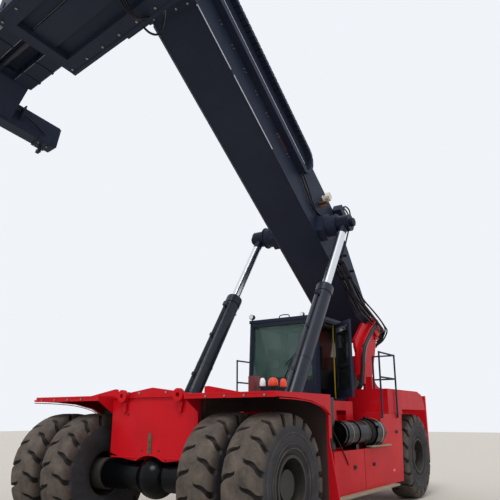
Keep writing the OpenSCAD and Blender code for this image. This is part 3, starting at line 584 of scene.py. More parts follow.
# the bundle leaves the tower's top and climbs the boom's side; each hose has its own lane
# route rows: along the boom, above its middle line, how far the hose has come out to its lane
bundle = {"route": [(-0.47, -0.02, 0.0), (-0.5, 0.14, 0.4), (-0.38, 0.29, 0.9), (-0.12, 0.29, 1.0),
                    (0.24, 0.2, 1.0), (0.6, 0.09, 1.0), (1.04, -0.03, 1.0), (1.58, -0.07, 1.0),
                    (2.2, -0.1, 1.0)],
          "lanes": [(0.50, 0.0), (0.545, -0.05), (0.59, 0.0), (0.635, -0.07), (0.68, -0.02), (0.52, -0.12),
                    (0.60, -0.15), (0.66, -0.17), (0.56, -0.21), (0.64, -0.27), (0.53, -0.3), (0.7, -0.1)],
          "radius": 0.017, "tower": 0.48, "clamps": (1.75, 2.2)}


def makeBundle(spec):
    tower, routes = spec["tower"], []
    for index, (y, rise) in enumerate(spec["lanes"]):
        spread = 0.04 * math.sin(index * 2.1)
        routes.append([(s - 0.15 * rise * (s < -0.3),
                        tower + (y - tower) * out + spread * math.sin(1.3 * s + index),
                        t + rise * (1.2 if -0.3 < s < 1.4 else 0.6) + 0.03 * math.sin(1.9 * s + 1.7 * index))
                       for s, t, out in spec["route"]])
    made = hoses(boom, routes, spec["radius"], 10).object("hoseBundle", "hose")
    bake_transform(made, "chassis", "boom", start=boom @ Vector((0.0, 0.58, 0.25)),
             end=boom @ Vector((1.3, 0.58, 0.1)))
    boxes("bundleClamps", "boom", boom,
          [((s - 0.03, 0.463, low), (s + 0.03, 0.72, high)) for s in spec["clamps"]
           for low, high in ((-0.16, -0.13), (0.06, 0.085))], "black_paint", 0.004)


makeBundle(bundle)


def dressBoomSide():
    routes = [[(2.66 + reach, y, 1.02), (2.63 + reach, y, 1.18), (2.42 + reach, y, 1.22 + reach),
               (2.26 + reach, y, 1.05), (2.2 + reach, y, 0.5), (2.2, y, 0.0), (2.2, y, -0.1)]
              for y, reach in ((0.60, 0.0), (0.64, 0.06))]
    hoses(boom, routes, 0.017, 10).ride("risingHoses", "boom", "hose")
    fitting = Shape(boom).box((2.56, 0.463, 0.86), (2.86, 0.66, 1.03))
    for s, y in ((2.66, 0.60), (2.74, 0.64)):
        fitting.rod((s, y, 1.0), (s, y, 1.09), 0.028)
    fitting.ride("hoseFitting", "boom", "black_paint", 0.004)
    boxes("lampBracket", "boom", boom,
          [((3.3, 0.463, 0.48), (3.38, 0.64, 0.5)), ((3.3, 0.463, 0.42), (3.32, 0.6, 0.5))], "rust", 0.003)
    routes = [[(4.35, y, 0.35), (4.22, y, 0.42), (4.12, y, 0.64), (4.22, y, 0.87), (4.4, y, 0.935),
               (4.7, y, 0.93)] for y in (0.485, 0.51, 0.535, 0.56)]
    hoses(boom, routes, 0.012, 8, 4).ride("chainHoses", "boom", "grey")
    routes = [[(4.3, y, t), (3.9, y, t - 0.1), (3.4, y, 0.12), (2.9, 0.52, 0.52), (2.6, 0.56, 0.6),
               (2.25, 0.6, 0.45)] for y, t in ((0.49, 0.3), (0.525, 0.34))]
    hoses(boom, routes, 0.015).ride("feedHoses", "boom", "hose")


dressBoomSide()

# lift cylinders: the barrel's radius, and how far along it the rings and the pipe unions stand
barrel = {"radius": 0.144, "gland": 3.2, "head": 3.262, "band": 1.62, "unions": (0.28, 3.05)}


def dressCylinder(side, size):
    place, body, out = liftFrame(side), side + "_lift_barrel", outOf(side)
    gland = Shape(place)
    gland.ring((size["gland"], 0, 0), (1, 0, 0), size["radius"], 0.158, 0.05)
    gland.ring((size["head"], 0, 0), (1, 0, 0), 0.1, 0.152, 0.04)
    gland.ring((size["band"], 0, 0), (1, 0, 0), size["radius"], 0.15, 0.03)
    gland.ride(side + "Gland", body, "grey_paint")
    boltRing(side + "GlandBolts", body, place, (3.308, 0.0, 0.0), "X", 12, 0.125, 0.014, 0.02)
    ends = Shape(place)
    for x in size["unions"]:
        ends.rod((x, 0.0, 0.14), (x, 0.0, 0.19), 0.022)
        ends.turned((x, 0.0, 0.17), (0, 0, 1), [(0.03, 0.0), (0.03, 0.03)], 6)
    ends.ride(side + "PipeUnions", body, "bolt")
    low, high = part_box("lift_rod_" + side)
    face = high.y if out > 0 else low.y
    pin = boom @ liftPin
    cap = Shape(Matrix.Translation((pin.x, 0.0, pin.z)))
    cap.turned((0, face, 0), (0, out, 0), [(0.085, 0.0), (0.085, 0.014), (0.072, 0.02)], 40)
    cap.turned((0, face + out * 0.018, 0), (0, out, 0), [(0.018, 0.0), (0.018, 0.012)], 6)
    cap.ride(side + "PinCap", side + "_lift_rod", "black_paint")
    routes = [[(0.28, 0.05 * k, 0.18), (0.18, 0.07 * k, 0.3), (-0.02, 0.08 * k, 0.28),
               (-0.25, 0.08 * k, 0.18), (-0.5, 0.1 * k, 0.1)] for k in (-1, 1)]
    made = hoses(place, routes, 0.02, 10).object(side + "FootHoses", "hose")
    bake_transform(made, body, "chassis", start=place @ Vector((0.15, 0, 0.2)),
             end=place @ Vector((-0.35, 0, 0.12)))


for side in ("left", "right"):
    dressCylinder(side, barrel)

# spreader: ribs, bolted rings, hoses, lock housings

hang = {"frameLow": -1.51, "girdleLow": -1.62, "tube": 0.345, "tubeHalf": 0.15, "girdleX": 0.66,
        "girdleHalf": 1.3, "frameEnd": 2.38, "lockX": 1.1295, "beamTop": -1.61, "beamLow": -2.03,
        "beamReach": 1.34, "beamIn": 2.7865, "beamOut": 3.0315, "coverLow": -1.275, "coverTop": -1.267,
        "cylinderUp": -1.5}


def dressFrame(size):
    tube, girdle, low = size["tube"], size["girdleX"], size["girdleLow"]
    spans = []
    for x in (-1, 1):
        spans += [((x * tube - 0.165, y - 0.02, size["frameLow"] - 0.015),
                   (x * tube + 0.165, y + 0.02, -1.33)) for y in (-2.1, -1.7, 1.7, 2.1)]
        spans += [((x * girdle + x * 0.008 - 0.012, y - 0.015, low + 0.03),
                   (x * girdle + x * 0.008 + 0.012, y + 0.015, -1.4)) for y in (-1.1, -0.4, 0.4, 1.1)]
        spans += [((x * girdle - 0.03, -1.29, low - 0.012), (x * girdle + 0.03, 1.29, low + 0.012))]
    boxes("frameRibs", "spreader", hanger, spans, "black_paint", 0.004)
    spans = [((-0.2, near, -1.302), (0.2, far, -1.294))
             for near, far in ((-2.39, -size["girdleHalf"]), (size["girdleHalf"], 2.39))]
    boxes("frameCovers", "spreader", hanger, spans, "black_paint")
    routes = [[(x * tube + edge * size["tubeHalf"], y, size["frameLow"])
               for y in (-size["frameEnd"], 0.0, size["frameEnd"])] for x in (-1, 1) for edge in (-1, 1)]
    hoses(hanger, routes, 0.006, 6, 2).ride("frameWelds", "spreader", "weld")
    bolts("girdleBolts", "spreader", hanger,
          [(7, (x, -1.2, low - 0.008), (0.0, 0.4, 0.0), "Z") for x in (-0.58, 0.58)]
          + [(5, (x * 0.672, -1.2, -1.45), (0.0, 0.6, 0.0), "X") for x in (-1, 1)], 0.02, 0.02)


def dressFrameLines(size):
    cylinders, up = Shape(hanger), size["cylinderUp"]
    for x, y in ((-0.09, 1), (0.09, -1)):
        cylinders.rod((x, y * 0.2, up), (x, y * 2.2, up), 0.045)
        cylinders.rod((x, y * 2.2, up), (x, y * 2.36, up), 0.055)
    cylinders.ride("reachCylinders", "spreader", "grey_paint")
    routes = [[(-0.2, y, -1.6), (-0.36, y, -1.7 - drop), (-0.5, y, -1.71 - drop), (-0.64, y, -1.6),
               (-0.7, y, -1.4)] for y, drop in ((0.5, 0.0), (0.55, 0.03), (0.6, 0.055))]
    loops = hoses(hanger, routes, 0.014)
    loops.hose([(-0.66, 0.3, -1.45), (-0.74, 0.34, -1.56), (-0.85, 0.37, -1.6), (-0.88, 0.52, -1.68),
                (-0.87, 0.6, -1.58), (-0.86, 0.6, -1.35), (-0.84, 0.52, -1.04), (-0.72, 0.45, -0.9),
                (-0.6, 0.4, -1.0)], 0.016, 10, 5)
    loops.ride("frameHoses", "spreader", "hose")
    boxes("bellyPlate", "spreader", hanger, [((-0.195, -1.28, -1.558), (0.195, 1.28, -1.55))],
          "black_paint", 0.003)
    boxes("valveBoxes", "spreader", hanger,
          [((-0.9, -0.3, -1.28), (-0.67, 0.28, -1.12)), ((0.67, 0.35, -1.5), (0.9, 0.85, -1.32))],
          "black_paint", 0.012)


def dressTurntable():
    ring = Shape(hanger)
    ring.ring((0, 0, -0.66), (0, 0, 1), 0.61, 0.65, 0.05, 96)
    ring.ride("slewingRing", "yoke", "bolt")
    boltRing("slewingBolts", "yoke", hanger, (0.0, 0.0, -0.57), "Z", 36, 0.585, 0.014, 0.03)
    motors = Shape(hanger)
    for y in (-0.72, 0.72):
        motors.rod((0.0, y, -1.04), (0.0, y, -0.74), 0.1)
        motors.rod((0.0, y, -0.74), (0.0, y, -0.6), 0.07)
    motors.ride("turnMotors", "rotator", "grey_paint")


dressFrame(hang)
dressFrameLines(hang)
dressTurntable()


def dressEndBeam(side, size):
    body = side + "_end_beam"
    flip = hanger @ Matrix.Rotation(0.0 if side == "left" else math.pi, 4, "Z")
    near, far, low, top = size["beamIn"], size["beamOut"], size["beamLow"], size["beamTop"]
    lock, reach, spans = size["lockX"], size["beamReach"], []
    for x in (-1, 1):
        spans += [((x * lock - 0.12, near - 0.01, low - 0.02), (x * lock + 0.12, far + 0.01, low + 0.09)),
                  ((x * reach - 0.02, near - 0.008, low + 0.02), (x * reach + 0.02, far + 0.008, top - 0.02)),
                  ((x * 0.6 - 0.012, near - 0.16, -1.89), (x * 0.6 + 0.012, near + 0.01, -1.66))]
    spans += [((-size["tube"], 2.41, size["coverLow"]), (size["tube"], 2.785, size["coverTop"])),
              ((-0.195, 2.765, -1.62), (0.195, 2.785, size["coverTop"]))]
    boxes(side + "LockHousings", body, flip, spans, "black_paint", 0.006)
    bolts(side + "LockBolts", body, flip,
          [(2, (x * lock - 0.08, y, low - 0.028), (0.16, 0.0, 0.0), "Z")
           for x in (-1, 1) for y in (near + 0.05, far - 0.04)], 0.016, 0.018)
    routes = [[(x * 0.2, near - 0.03, -1.69), (x * 0.5, near - 0.05, -1.74), (x * 0.85, near - 0.03, -1.8),
               (x * 1.1, near - 0.02, -1.89)] for x in (-1, 1)]
    hoses(flip, routes, 0.012).ride(side + "LockLeads", body, "hose")


for side in ("left", "right"):
    dressEndBeam(side, hang)

# chassis: front plate, fenders, deck lamps, sides

front = {"centre": 0.19, "bend": 0.0526, "edge": 0.74, "lip": (1.822, 1.836), "foot": (1.04, 1.06),
         "strip": (1.09, 1.36), "ball": 0.268, "ballUp": 0.8}


def plateFace(y, ahead=0.0):
    # the plate's front face is bent at the centre plane
    return front["centre"] - abs(y) * front["bend"] + ahead


def plateBand(shape, first, last, back, ahead, low, high):
    # a flat band along the bent face from first to last, between two levels
    shape.prism([(plateFace(first, back), first), (plateFace(first, ahead), first),
                 (plateFace(last, ahead), last), (plateFace(last, back), last)], "Z", low, high)


def dressFront(size):
    face, proud = plateFace(0), plateFace(0, 0.008)
    strip = Shape(machine)
    strip.prism([(face, -0.028), (proud, -0.028), (proud, 0.028), (face, 0.028)], "Z", *size["strip"])
    strip.ride("plateStrip", "chassis", "olive", 0.002)
    holes = Shape(machine)
    for y, z, radius in ((-0.14, 1.14, 0.013), (0.15, 1.14, 0.013), (-0.44, 1.6, 0.016), (0.0, 1.25, 0.008),
                         (0.0, 1.16, 0.008)):
        holes.turned((plateFace(y, 0.0095 if y == 0.0 else 0.0015), y, z), (1, 0, 0),
                     [(radius, 0.0), (radius, 0.002)], 20)
    holes.ride("plateHoles", "chassis", "seam")
    bolts("plateTopBolts", "chassis", machine,
          [(2, (plateFace(0.34), y, 1.885), (0.0, 0.2, 0.0), "X") for y in (-0.44, 0.24)], 0.018, 0.03)
    rings = Shape(machine)
    for y in (-0.5, 0.5):
        rings.ring((plateFace(0.5, 0.045), y, 1.845), (1, 0, 0), 0.03, 0.085, 0.05, 40)
        rings.prism([(y - 0.012, 1.62), (y + 0.012, 1.62), (y + 0.05, 1.8), (y - 0.05, 1.8)], "X", 0.155, 0.2)
    rings.ride("pinBossRings", "chassis", "red_paint", 0.003)
    ball = Shape(machine)
    radius, arcs = size["ball"], [k * math.pi / 24 for k in range(1, 24)]
    ball.turned((0.02, 0.0, size["ballUp"]), (1, 0, 0),
                [(radius * math.sin(turn), -radius * math.cos(turn)) for turn in arcs], 48)
    ball.ride("axleBall", "chassis", "black_with_painted_shade")
    corners = Shape(machine)
    lip = Shape(machine)
    for y in (-1, 1):
        corners.prism([(y * 0.54, 1.77), (y * 0.745, 1.6), (y * 0.758, 1.6), (y * 0.758, 1.83),
                       (y * 0.54, 1.83)], "X", 0.125, plateFace(0.66))
        plateBand(lip, 0.0, y * size["edge"], 0.0, 0.03, *size["lip"])
        plateBand(lip, y * 0.24, y * size["edge"], -0.004, 0.012, *size["foot"])
    corners.ride("plateCorners", "chassis", "red_paint")
    lip.ride("plateLip", "chassis", "red_paint", 0.003)


dressFront(front)

# painted shade: dark brown sheets under the fender's top, on its inner wall and ledge, its back in two parts,
# and the walls beside it
fender = {"front": 0.435, "back": -0.89, "innerEdge": 0.8, "top": 1.825,
          "edge": [(0.43, 2.125, 1.77), (0.05, 2.125, 1.765), (-0.35, 2.125, 1.74), (-0.7, 2.125, 1.67),
                   (-0.89, 2.125, 1.575)],
          "painted_shade": [((-0.895, 0.78, 1.8255), (0.434, 2.055, 1.8295)),
                        ((-0.89, 0.776, 1.64), (0.03, 0.779, 1.826)),
                        ((-0.89, 0.758, 1.642), (0.03, 0.779, 1.648)),
                        ((-0.8995, 1.22, 0.55), (-0.897, 2.05, 1.82)),
                        ((-0.8995, 0.78, 1.64), (-0.897, 1.22, 1.82)),
                        ((-0.88, 0.70, 1.14), (0.12, 0.703, 1.66)),
                        ((0.03, 0.7605, 1.45), (0.1, 0.7635, 1.825))]}


def dressFender(side, size):
    place, front, back, inner = mirrored(side), size["front"], size["back"], size["innerEdge"]
    boxes(side + "FenderLip", "chassis", place,
          [((front, inner, size["top"]), (front + 0.008, 2.05, size["top"] + 0.025))],
          "red_paint", 0.002)
    hoses(place, [size["edge"]], 0.006, 6, 3).ride(side + "FenderEdge", "chassis", "red_paint")
    bolts(side + "FenderBolts", "chassis", place,
          [(3, (-0.94, 2.02, 0.75), (0.0, 0.0, 0.35), "X"), (4, (0.446, 1.1, 1.81), (0.0, 0.28, 0.0), "X"),
           (3, (0.1, 1.0, 1.855), (-0.35, 0.0, 0.0), "Z")], 0.014, 0.014)
    # the stiffener at the fender's back and the sheets under and beside the fender wear the dark brown of
    # painted shade
    boxes(side + "FenderStiffener", "chassis", place, [((back, inner, 1.785), (back + 0.03, 2.04, 1.83))],
          "painted_shade")
    boxes(side + "PaintedShadeSheets", "chassis", place, size["painted_shade"], "painted_shade")
    flap = Shape(place)
    flap.prism([(1.26, 0.52), (2.17, 0.52), (2.16, 0.36), (1.27, 0.34)], "X", -0.925, -0.905)
    flap.ride(side + "MudFlap", "chassis", "gasket", 0.003)


for side in ("left", "right"):
    dressFender(side, fender)

# name, finish, radius, place: lamps that stand on a shelf behind the left fender
deckLamps = [("deckLampWhite", "white", 0.045, (-1.2, 0.89, 2.0)),
             ("deckLampOrange", "orange", 0.075, (-1.2, 1.07, 2.0)),
             ("deckLampRear", "orange", 0.05, (-1.2, 1.24, 1.98))]


def dressDeck(lamps):
    for name, lens, radius, (x, y, z) in lamps:
        glow = Shape(machine)
        glow.turned((x, y, z), (0, 0, 1), [(radius * 0.92, 0.0), (radius, 0.02), (radius * 0.94, 0.07),
                                           (radius * 0.7, 0.105), (radius * 0.3, 0.12)], 28)
        glow.ride(name, "chassis", lens)
        stalk = Shape(machine).rod((x, y, 1.84), (x, y, z), radius * 0.5)
        stalk.turned((x, y, z - 0.025), (0, 0, 1), [(radius * 1.08, 0.0), (radius * 1.08, 0.025)], 28)
        stalk.ride(name + "Base", "chassis", "gasket")
    boxes("lampShelf", "chassis", machine,
          [((-1.36, 0.68, 1.8), (-1.06, 1.34, 1.84)), ((-1.24, 0.66, 1.69), (-1.18, 0.72, 1.81)),
           ((-1.08, 0.9, 1.8), (-0.88, 1.2, 1.812))], "black_paint", 0.004)
    boxes("deckBlock", "chassis", machine, [((-1.3, 0.69, 1.84), (-1.12, 0.8, 2.15))], "darkRed", 0.006)
    routes = [[(-1.0, 0.32 - lane, 1.74), (-1.8, 0.34 - lane, 1.76), (-3.0, 0.36 - lane, 1.75),
               (-4.9, 0.34 - lane, 1.75)] for lane in (0.07 * k for k in range(5))]
    hoses(machine, routes, 0.02, 8, 4).ride("deckPipes", "chassis", "hose")
    bolts("deckBolts", "chassis", machine,
          [(6, (-1.2, y, 1.7), (-0.6, 0.0, 0.0), "Z") for y in (-0.62, 0.62)], 0.018, 0.02)


dressDeck(deckLamps)

# the seams are given by their ends, as x and z, the latches by their middles
sides = {"seams": [(-5.72, 1.6345, -3.45, 1.6405), (-4.106, 1.08, -4.1, 1.62), (-5.206, 0.45, -5.2, 1.62),
                   (-3.306, 0.43, -3.3, 1.05)],
         "latches": [(-4.9, 1.3), (-4.3, 1.3), (-2.9, 0.8), (-3.7, 0.8), (-5.5, 1.3)],
         "ridges": 44, "firstRidge": -4.55, "ridgeStep": 0.058, "rear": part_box("counterweight")[0].x - axleX}


def dressSide(side, size):
    place = mirrored(side)
    boxes(side + "PanelSeams", "chassis", place,
          [((back, 1.549, low), (ahead, 1.5525, high)) for back, low, ahead, high in size["seams"]], "seam")
    boxes(side + "TanLedge", "chassis", place, [((-4.4, 1.5, 1.075), (-3.5, 1.62, 1.1))],
          "tread_plate", 0.004)
    latches = Shape(place)
    for x, z in size["latches"]:
        latches.box((x - 0.05, 1.55, z - 0.03), (x + 0.05, 1.562, z + 0.03))
        latches.turned((x, 1.56, z), (0, 1, 0), [(0.018, 0.0), (0.018, 0.012)], 16)
    latches.ride(side + "Latches", "chassis", "gasket", 0.002)
    starts = [size["firstRidge"] + size["ridgeStep"] * k for k in range(size["ridges"])]
    boxes(side + "BoardRidges", "chassis", place,
          [((x, 1.36, 0.42), (x + 0.03, 1.64, 0.4235)) for x in starts], "tread_plate")
    strip = Shape(place)
    strip.prism([(-2.17, 1.86), (-2.36, 1.86), (-2.36, 1.06), (-2.17, 1.06)], "Y", 1.46, 1.475)
    strip.ride(side + "BlackStrip", "chassis", "black_with_painted_shade", 0.003)
    cable = [(-2.08, 1.53, 1.45), (-2.2, 1.55, 1.3), (-2.37, 1.56, 1.13), (-2.55, 1.56, 0.95),
             (-2.63, 1.56, 0.85)]
    hoses(place, [cable], 0.008).ride(side + "SideCable", "chassis", "hose")
    # the reflector glows faintly: painted light
    boxes(side + "Reflector", "chassis", place, [((-4.7, 1.55, 0.62), (-4.58, 1.556, 0.66))], "orange")
    boxes(side + "TailLamp", "chassis", place,
          [((size["rear"] + 0.05, 1.02, 1.3), (size["rear"] + 0.08, 1.1, 1.5))], "orange", 0.004)


for side in ("left", "right"):
    dressSide(side, sides)

cleaner = {"y": 1.42, "z": 1.31, "clips": (0.4, 1.6, 2.8, 4.0, 5.2), "clipReach": 0.24, "folds": 8}


def dressAirCleaner(size):
    y, z, reach = size["y"], size["z"], size["clipReach"]
    bands = Shape(machine)
    bands.ring((-3.97, y, z), (1, 0, 0), 0.234, 0.241, 0.05)
    for x in (-3.5, -2.8):
        bands.ring((x, y, z), (1, 0, 0), 0.189, 0.194, 0.02)
    bands.ride("cleanerBands", "chassis", "bolt")
    neck = Shape(machine)
    for k in range(size["folds"]):
        neck.ring((-3.72 + 0.03 * k, y, z), (1, 0, 0), 0.188, 0.214 - 0.014 * (k % 2), 0.016)
    neck.ride("cleanerNeck", "chassis", "gasket")
    clips = Shape(machine)
    for turn in size["clips"]:
        across, up = y + reach * math.cos(turn), z + reach * math.sin(turn)
        clips.box((-3.82, across - 0.02, up - 0.02), (-3.7, across + 0.02, up + 0.02))
    clips.turned((-4.062, y, z), (-1, 0, 0), [(0.21, 0.0), (0.19, 0.02), (0.06, 0.03)], 48)
    clips.ride("cleanerClips", "chassis", "black_with_painted_shade", 0.003)


dressAirCleaner(cleaner)

tower = {"pivotX": -6.65, "pivotZ": 3.55, "hoses": (0.032, 0.026, 0.026)}


def dressTower(size):
    strip = Shape(machine)
    for k, radius in enumerate(size["hoses"]):
        back = 0.05 * k
        strip.hose([(-5.48 - back, 0.5, 2.05), (-5.52 - back, 0.6, 2.2), (-5.58 - back, 0.63, 2.42),
                    (-5.68 - back, 0.64, 2.95), (-5.86 - back, 0.64, 3.15),
                    (-6.26 - 0.04 * k, 0.64, 3.46 - 0.02 * k), (-6.6, 0.64, 3.66 - back)], radius, 12, 6)
    strip.ride("towerHoses", "chassis", "hose")
    pipe = [(-5.86, 0.6, 2.7), (-5.98, 0.6, 3.0), (-6.17, 0.6, 3.2), (-6.45, 0.6, 3.43), (-6.6, 0.6, 3.52)]
    hoses(machine, [pipe], 0.014, 10, 6).ride("towerPipe", "chassis", "weld")
    x, z = size["pivotX"], size["pivotZ"]
    caps = Shape(machine)
    for out in (-1, 1):
        caps.turned((x, out * 0.61, z), (0, out, 0), [(0.2, 0.0), (0.2, 0.02), (0.11, 0.03)], 48)
        caps.box((x - 0.1, out * 0.58 - 0.01, 3.28), (x + 0.1, out * 0.6 + 0.01, 3.34))
    caps.ride("pivotCaps", "chassis", "red_paint", 0.003)
    bolts("pivotCapBolts", "chassis", machine,
          [(2, (x - 0.06, out * 0.63, z), (0.12, 0.0, 0.0), "Y") for out in (-1, 1)], 0.02, 0.02)


dressTower(tower)

# wheels: rim nuts, rim flange rings, side wall rings and hub covers


def dressWheel(name, body, centreY, outerFace, rimY, nutReach):
    out = 1 if centreY > 0 else -1
    facing = (0, out, 0)
    hub = Matrix.Translation((middle(name).x, 0.0, 0.81))
    walls = Shape(hub)
    for radius, wide in ((0.40, 0.012), (0.46, 0.006), (0.575, 0.008)):
        walls.ring((0, out * outerFace, 0), facing, radius, radius + wide, 0.006, 64)
    walls.ride(name + "WallRings", body, "tyre_rubber")
    boltRing(name + "Nuts", body, hub, (0.0, out * rimY, 0.0), "Y", 18, nutReach, 0.019, 0.045)
    hubCap = Shape(hub)
    hubCap.turned((0, out * rimY, 0), facing, [(0.15, 0.0), (0.15, 0.06), (0.125, 0.08), (0.05, 0.09)], 40)
    hubCap.ride(name + "Hub", body, "rim_paint")
    lockRing = Shape(hub).ring((0, out * (outerFace - 0.05), 0), facing, 0.3, 0.335, 0.04, 64)
    lockRing.ride(name + "LockRing", body, "rim_paint")
    valve = Shape(hub).rod((0.27, out * (rimY + 0.02), 0.05), (0.27, out * (rimY + 0.1), 0.07), 0.008, 10)
    valve.ride(name + "Valve", body, "bolt")


# tread: curved grooves on each shoulder, staggered; the grid's lines follow the grooves, so they stay crisp
# profile rows: distance from the middle plane, radius, share of the groove's depth, share of side wall
tread = {"pitches": 18, "depth": 0.042, "half": 0.243, "profile": [
    (0.190, 0.3205, 0.0, 1.0), (0.206, 0.345, 0.0, 1.0), (0.219, 0.380, 0.0, 1.0), (0.233, 0.450, 0.0, 1.0),
    (0.241, 0.520, 0.0, 1.0), (0.243, 0.583, 0.0, 1.0), (0.2435, 0.640, 0.0, 1.0), (0.243, 0.655, 0.1, 0.7),
    (0.2425, 0.675, 0.9, 0.3), (0.2405, 0.725, 1.0, 0.0), (0.230, 0.765, 1.0, 0.0), (0.212, 0.790, 1.0, 0.0),
    (0.182, 0.802, 1.0, 0.0), (0.140, 0.807, 1.0, 0.0), (0.105, 0.810, 1.0, 0.0), (0.072, 0.810, 1.0, 0.0),
    (0.050, 0.810, 0.8, 0.0), (0.038, 0.810, 0.1, 0.0), (0.028, 0.810, 0.0, 0.0), (0.010, 0.810, 0.0, 0.0)],
    "columns": [0.0, 0.10, 0.13, 0.15, 0.25, 0.35, 0.37, 0.40, 0.5, 0.60, 0.63, 0.65, 0.75, 0.85, 0.87, 0.9]}


def grooveMiddle(across):
    # where a pitch has its groove, on the one shoulder and on the other
    return 0.25 if across > 0 else 0.75


def sweep(across):
    # how far round the wheel, in pitches, a groove has moved on its way to the shoulder
    reach = abs(across) / tread["half"]
    return 0.55 * reach ** 1.4 + 0.07 * math.sin(2 * math.pi * reach)


def taper(column, across):
    # grooves are narrow near the middle and wide at the shoulder
    away = (column - grooveMiddle(across) + 0.5) % 1.0 - 0.5
    wide = 0.55 + 0.75 * min(1.0, abs(across) / tread["half"]) ** 1.5
    if abs(away) > 0.15:
        return column
    return column + away * (wide - 1.0)


def grooveShare(column, across):
    # all of the depth inside the groove, none outside it, with steep walls between
    away = abs(column - grooveMiddle(across))
    return min(1.0, max(0.0, (0.12 - away) / 0.02))


def addTyre(shape, centreY, spec):
    floats = shape.mesh.verts.layers.float
    layers = [floats.get(key) or floats.new(key) for key in ("cut", "wall")]
    rows = [(-y, r, share, wall) for y, r, share, wall in spec["profile"]] + spec["profile"][::-1]
    rings = []
    for index, (y, r, share, wall) in enumerate(rows):
        (ya, ra), (yb, rb) = rows[max(index - 1, 0)][:2], rows[min(index + 1, len(rows) - 1)][:2]
        outward = Vector((-(rb - ra), yb - ya)).normalized()
        ring = []
        for pitch in range(spec["pitches"]):
            for column in spec["columns"]:
                turn = 2 * math.pi * (pitch + taper(column, y) + sweep(y)) / spec["pitches"]
                deep = share * grooveShare(column, y)
                away, radius = y - outward.x * deep * spec["depth"], r - outward.y * deep * spec["depth"]
                point = (radius * math.sin(turn), centreY + away, radius * math.cos(turn))
                ring.append((point, (deep, wall)))
        rings.append(ring)
    start = len(shape.mesh.verts)
    shape.skin([[point for point, _ in ring] for ring in rings], closed=True)
    shape.mesh.verts.ensure_lookup_table()
    for vert, values in zip(shape.mesh.verts[start:], (values for ring in rings for _, values in ring)):
        for layer, value in zip(layers, values):
            vert[layer] = value


# node with the tyre, body, middle planes of its tyres, outer face, disc, circle of its nuts
wheels = [("tyres_front_left", "front_left_wheels", (1.179, 1.801), 2.044, 1.512, 0.25),
          ("tyres_front_right", "front_right_wheels", (-1.179, -1.801), 2.044, 1.512, 0.25),
          ("tyre_rear_left", "rear_left_wheel", (1.29,), 1.533, 1.315, 0.24),
          ("tyre_rear_right", "rear_right_wheel", (-1.29,), 1.533, 1.315, 0.24)]
for node, body, planes, outerFace, disc, nutReach in wheels:
    rubber = Shape(Matrix.Translation((middle(node).x, 0.0, middle(node).z)))
    for plane in planes:
        addTyre(rubber, plane, tread)
    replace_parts(rubber.ride(node + "Tread", body, "tyre_rubber"), node)
    dressWheel(node, body, planes[0], outerFace, disc, nutReach)
print("wheels dressed")

# cab: gaskets, front posts, roof, what shows through the windows, and the door


def windowFrame(shape, axis, level, low, high, width=0.018, depth=0.008):
    # four flat strips round an opening; low and high are its corners in the plane across the axis
    (a, b), (c, d) = low, high
    for first, second in (((a - width, b - width), (c + width, b)), ((a - width, d), (c + width, d + width)),
                          ((a - width, b), (a, d)), ((c, b), (c + width, d))):
        outline = [first, (second[0], first[1]), second, (first[0], second[1])]
        shape.prism(outline, axis, level - depth, level + depth)


# windows: the axis they face, their level on it, two corners, the width of the gasket's strips
half = cabSize["halfWidth"]
windows = [("X", 0.022, (-0.62, 0.43), (0.62, 1.47), 0.018), ("X", -1.302, (-0.6, 0.64), (0.6, 1.49), 0.018),
           ("Y", -half, (-1.19, 0.56), (-0.13, 1.49), 0.018), ("Y", half, (-1.24, 0.56), (-1.0, 1.49), 0.014)]


def dressWindows(openings, half):
    gaskets = Shape(cab)
    for axis, level, low, high, width in openings:
        windowFrame(gaskets, axis, level, low, high, width)
    gaskets.box((-0.69, -half - 0.006, 0.56), (-0.65, -half + 0.006, 1.49))
    gaskets.ride("windowGaskets", "cab", "gasket")
    posts = [[(0.0, y, 0.12), (0.05, y, 0.5), (0.03, y, 0.9), (-0.01, y, 1.5)] for y in (-0.68, 0.68)]
    hoses(cab, posts, 0.03, 10, 3).ride("frontPosts", "cab", "black_paint")


dressWindows(windows, half)

inside = {"lining": [((-0.1, -0.6, 1.44), (-0.02, 0.6, 1.5)), ((-0.5, -0.64, 1.5), (-0.1, 0.64, 1.56)),
                     ((-0.95, -0.64, 1.46), (-0.5, 0.64, 1.56))],
          "dash": [(-0.1, 0.06), (-0.1, 0.56), (-0.22, 0.7), (-0.38, 0.66), (-0.34, 0.06)],
          "consoles": [((-0.5, -0.62, 0.3), (-0.42, -0.5, 0.9)), ((-1.0, -0.46, 0.3), (-0.5, -0.32, 0.68)),
                       ((-1.0, 0.32, 0.3), (-0.62, 0.44, 0.66)), ((-0.46, -0.58, 0.86), (-0.42, -0.3, 1.08))],
          "knobs": [(0.06, 0.78), (-0.02, 0.8), (0.12, 0.72), (-0.1, 0.76)]}


def dressInside(size):
    boxes("roofLining", "cab", cab, size["lining"], "cab_plastic", 0.01)
    dash = Shape(cab).prism(size["dash"], "Y", -0.5, 0.1)
    for low, high in size["consoles"]:
        dash.box(low, high)
    dash.rod((-0.6, -0.39, 0.68), (-0.56, -0.39, 0.84), 0.02)
    dash.turned((-0.555, -0.39, 0.84), (0.2, 0, 1), [(0.03, 0.0), (0.034, 0.03), (0.02, 0.06)], 16)
    dash.ride("dashboard", "cab", "cab_plastic", 0.008)
    knobs = Shape(cab)
    for y, z in size["knobs"]:
        knobs.turned((-0.3, y, z), (-1, 0, 0.4), [(0.014, 0.0), (0.014, 0.012)], 12)
    # the knobs glow faintly: painted light
    knobs.ride("dashKnobs", "cab", "white")


dressInside(inside)

roof = {"cornerLamps": (-0.69, 0.69), "lampY": 0.42, "lampZ": 1.64,
        "rail": [(-0.06, 1.6), (-0.05, 1.645), (0.0, 1.66), (0.1, 1.66), (0.15, 1.645), (0.16, 1.6)]}


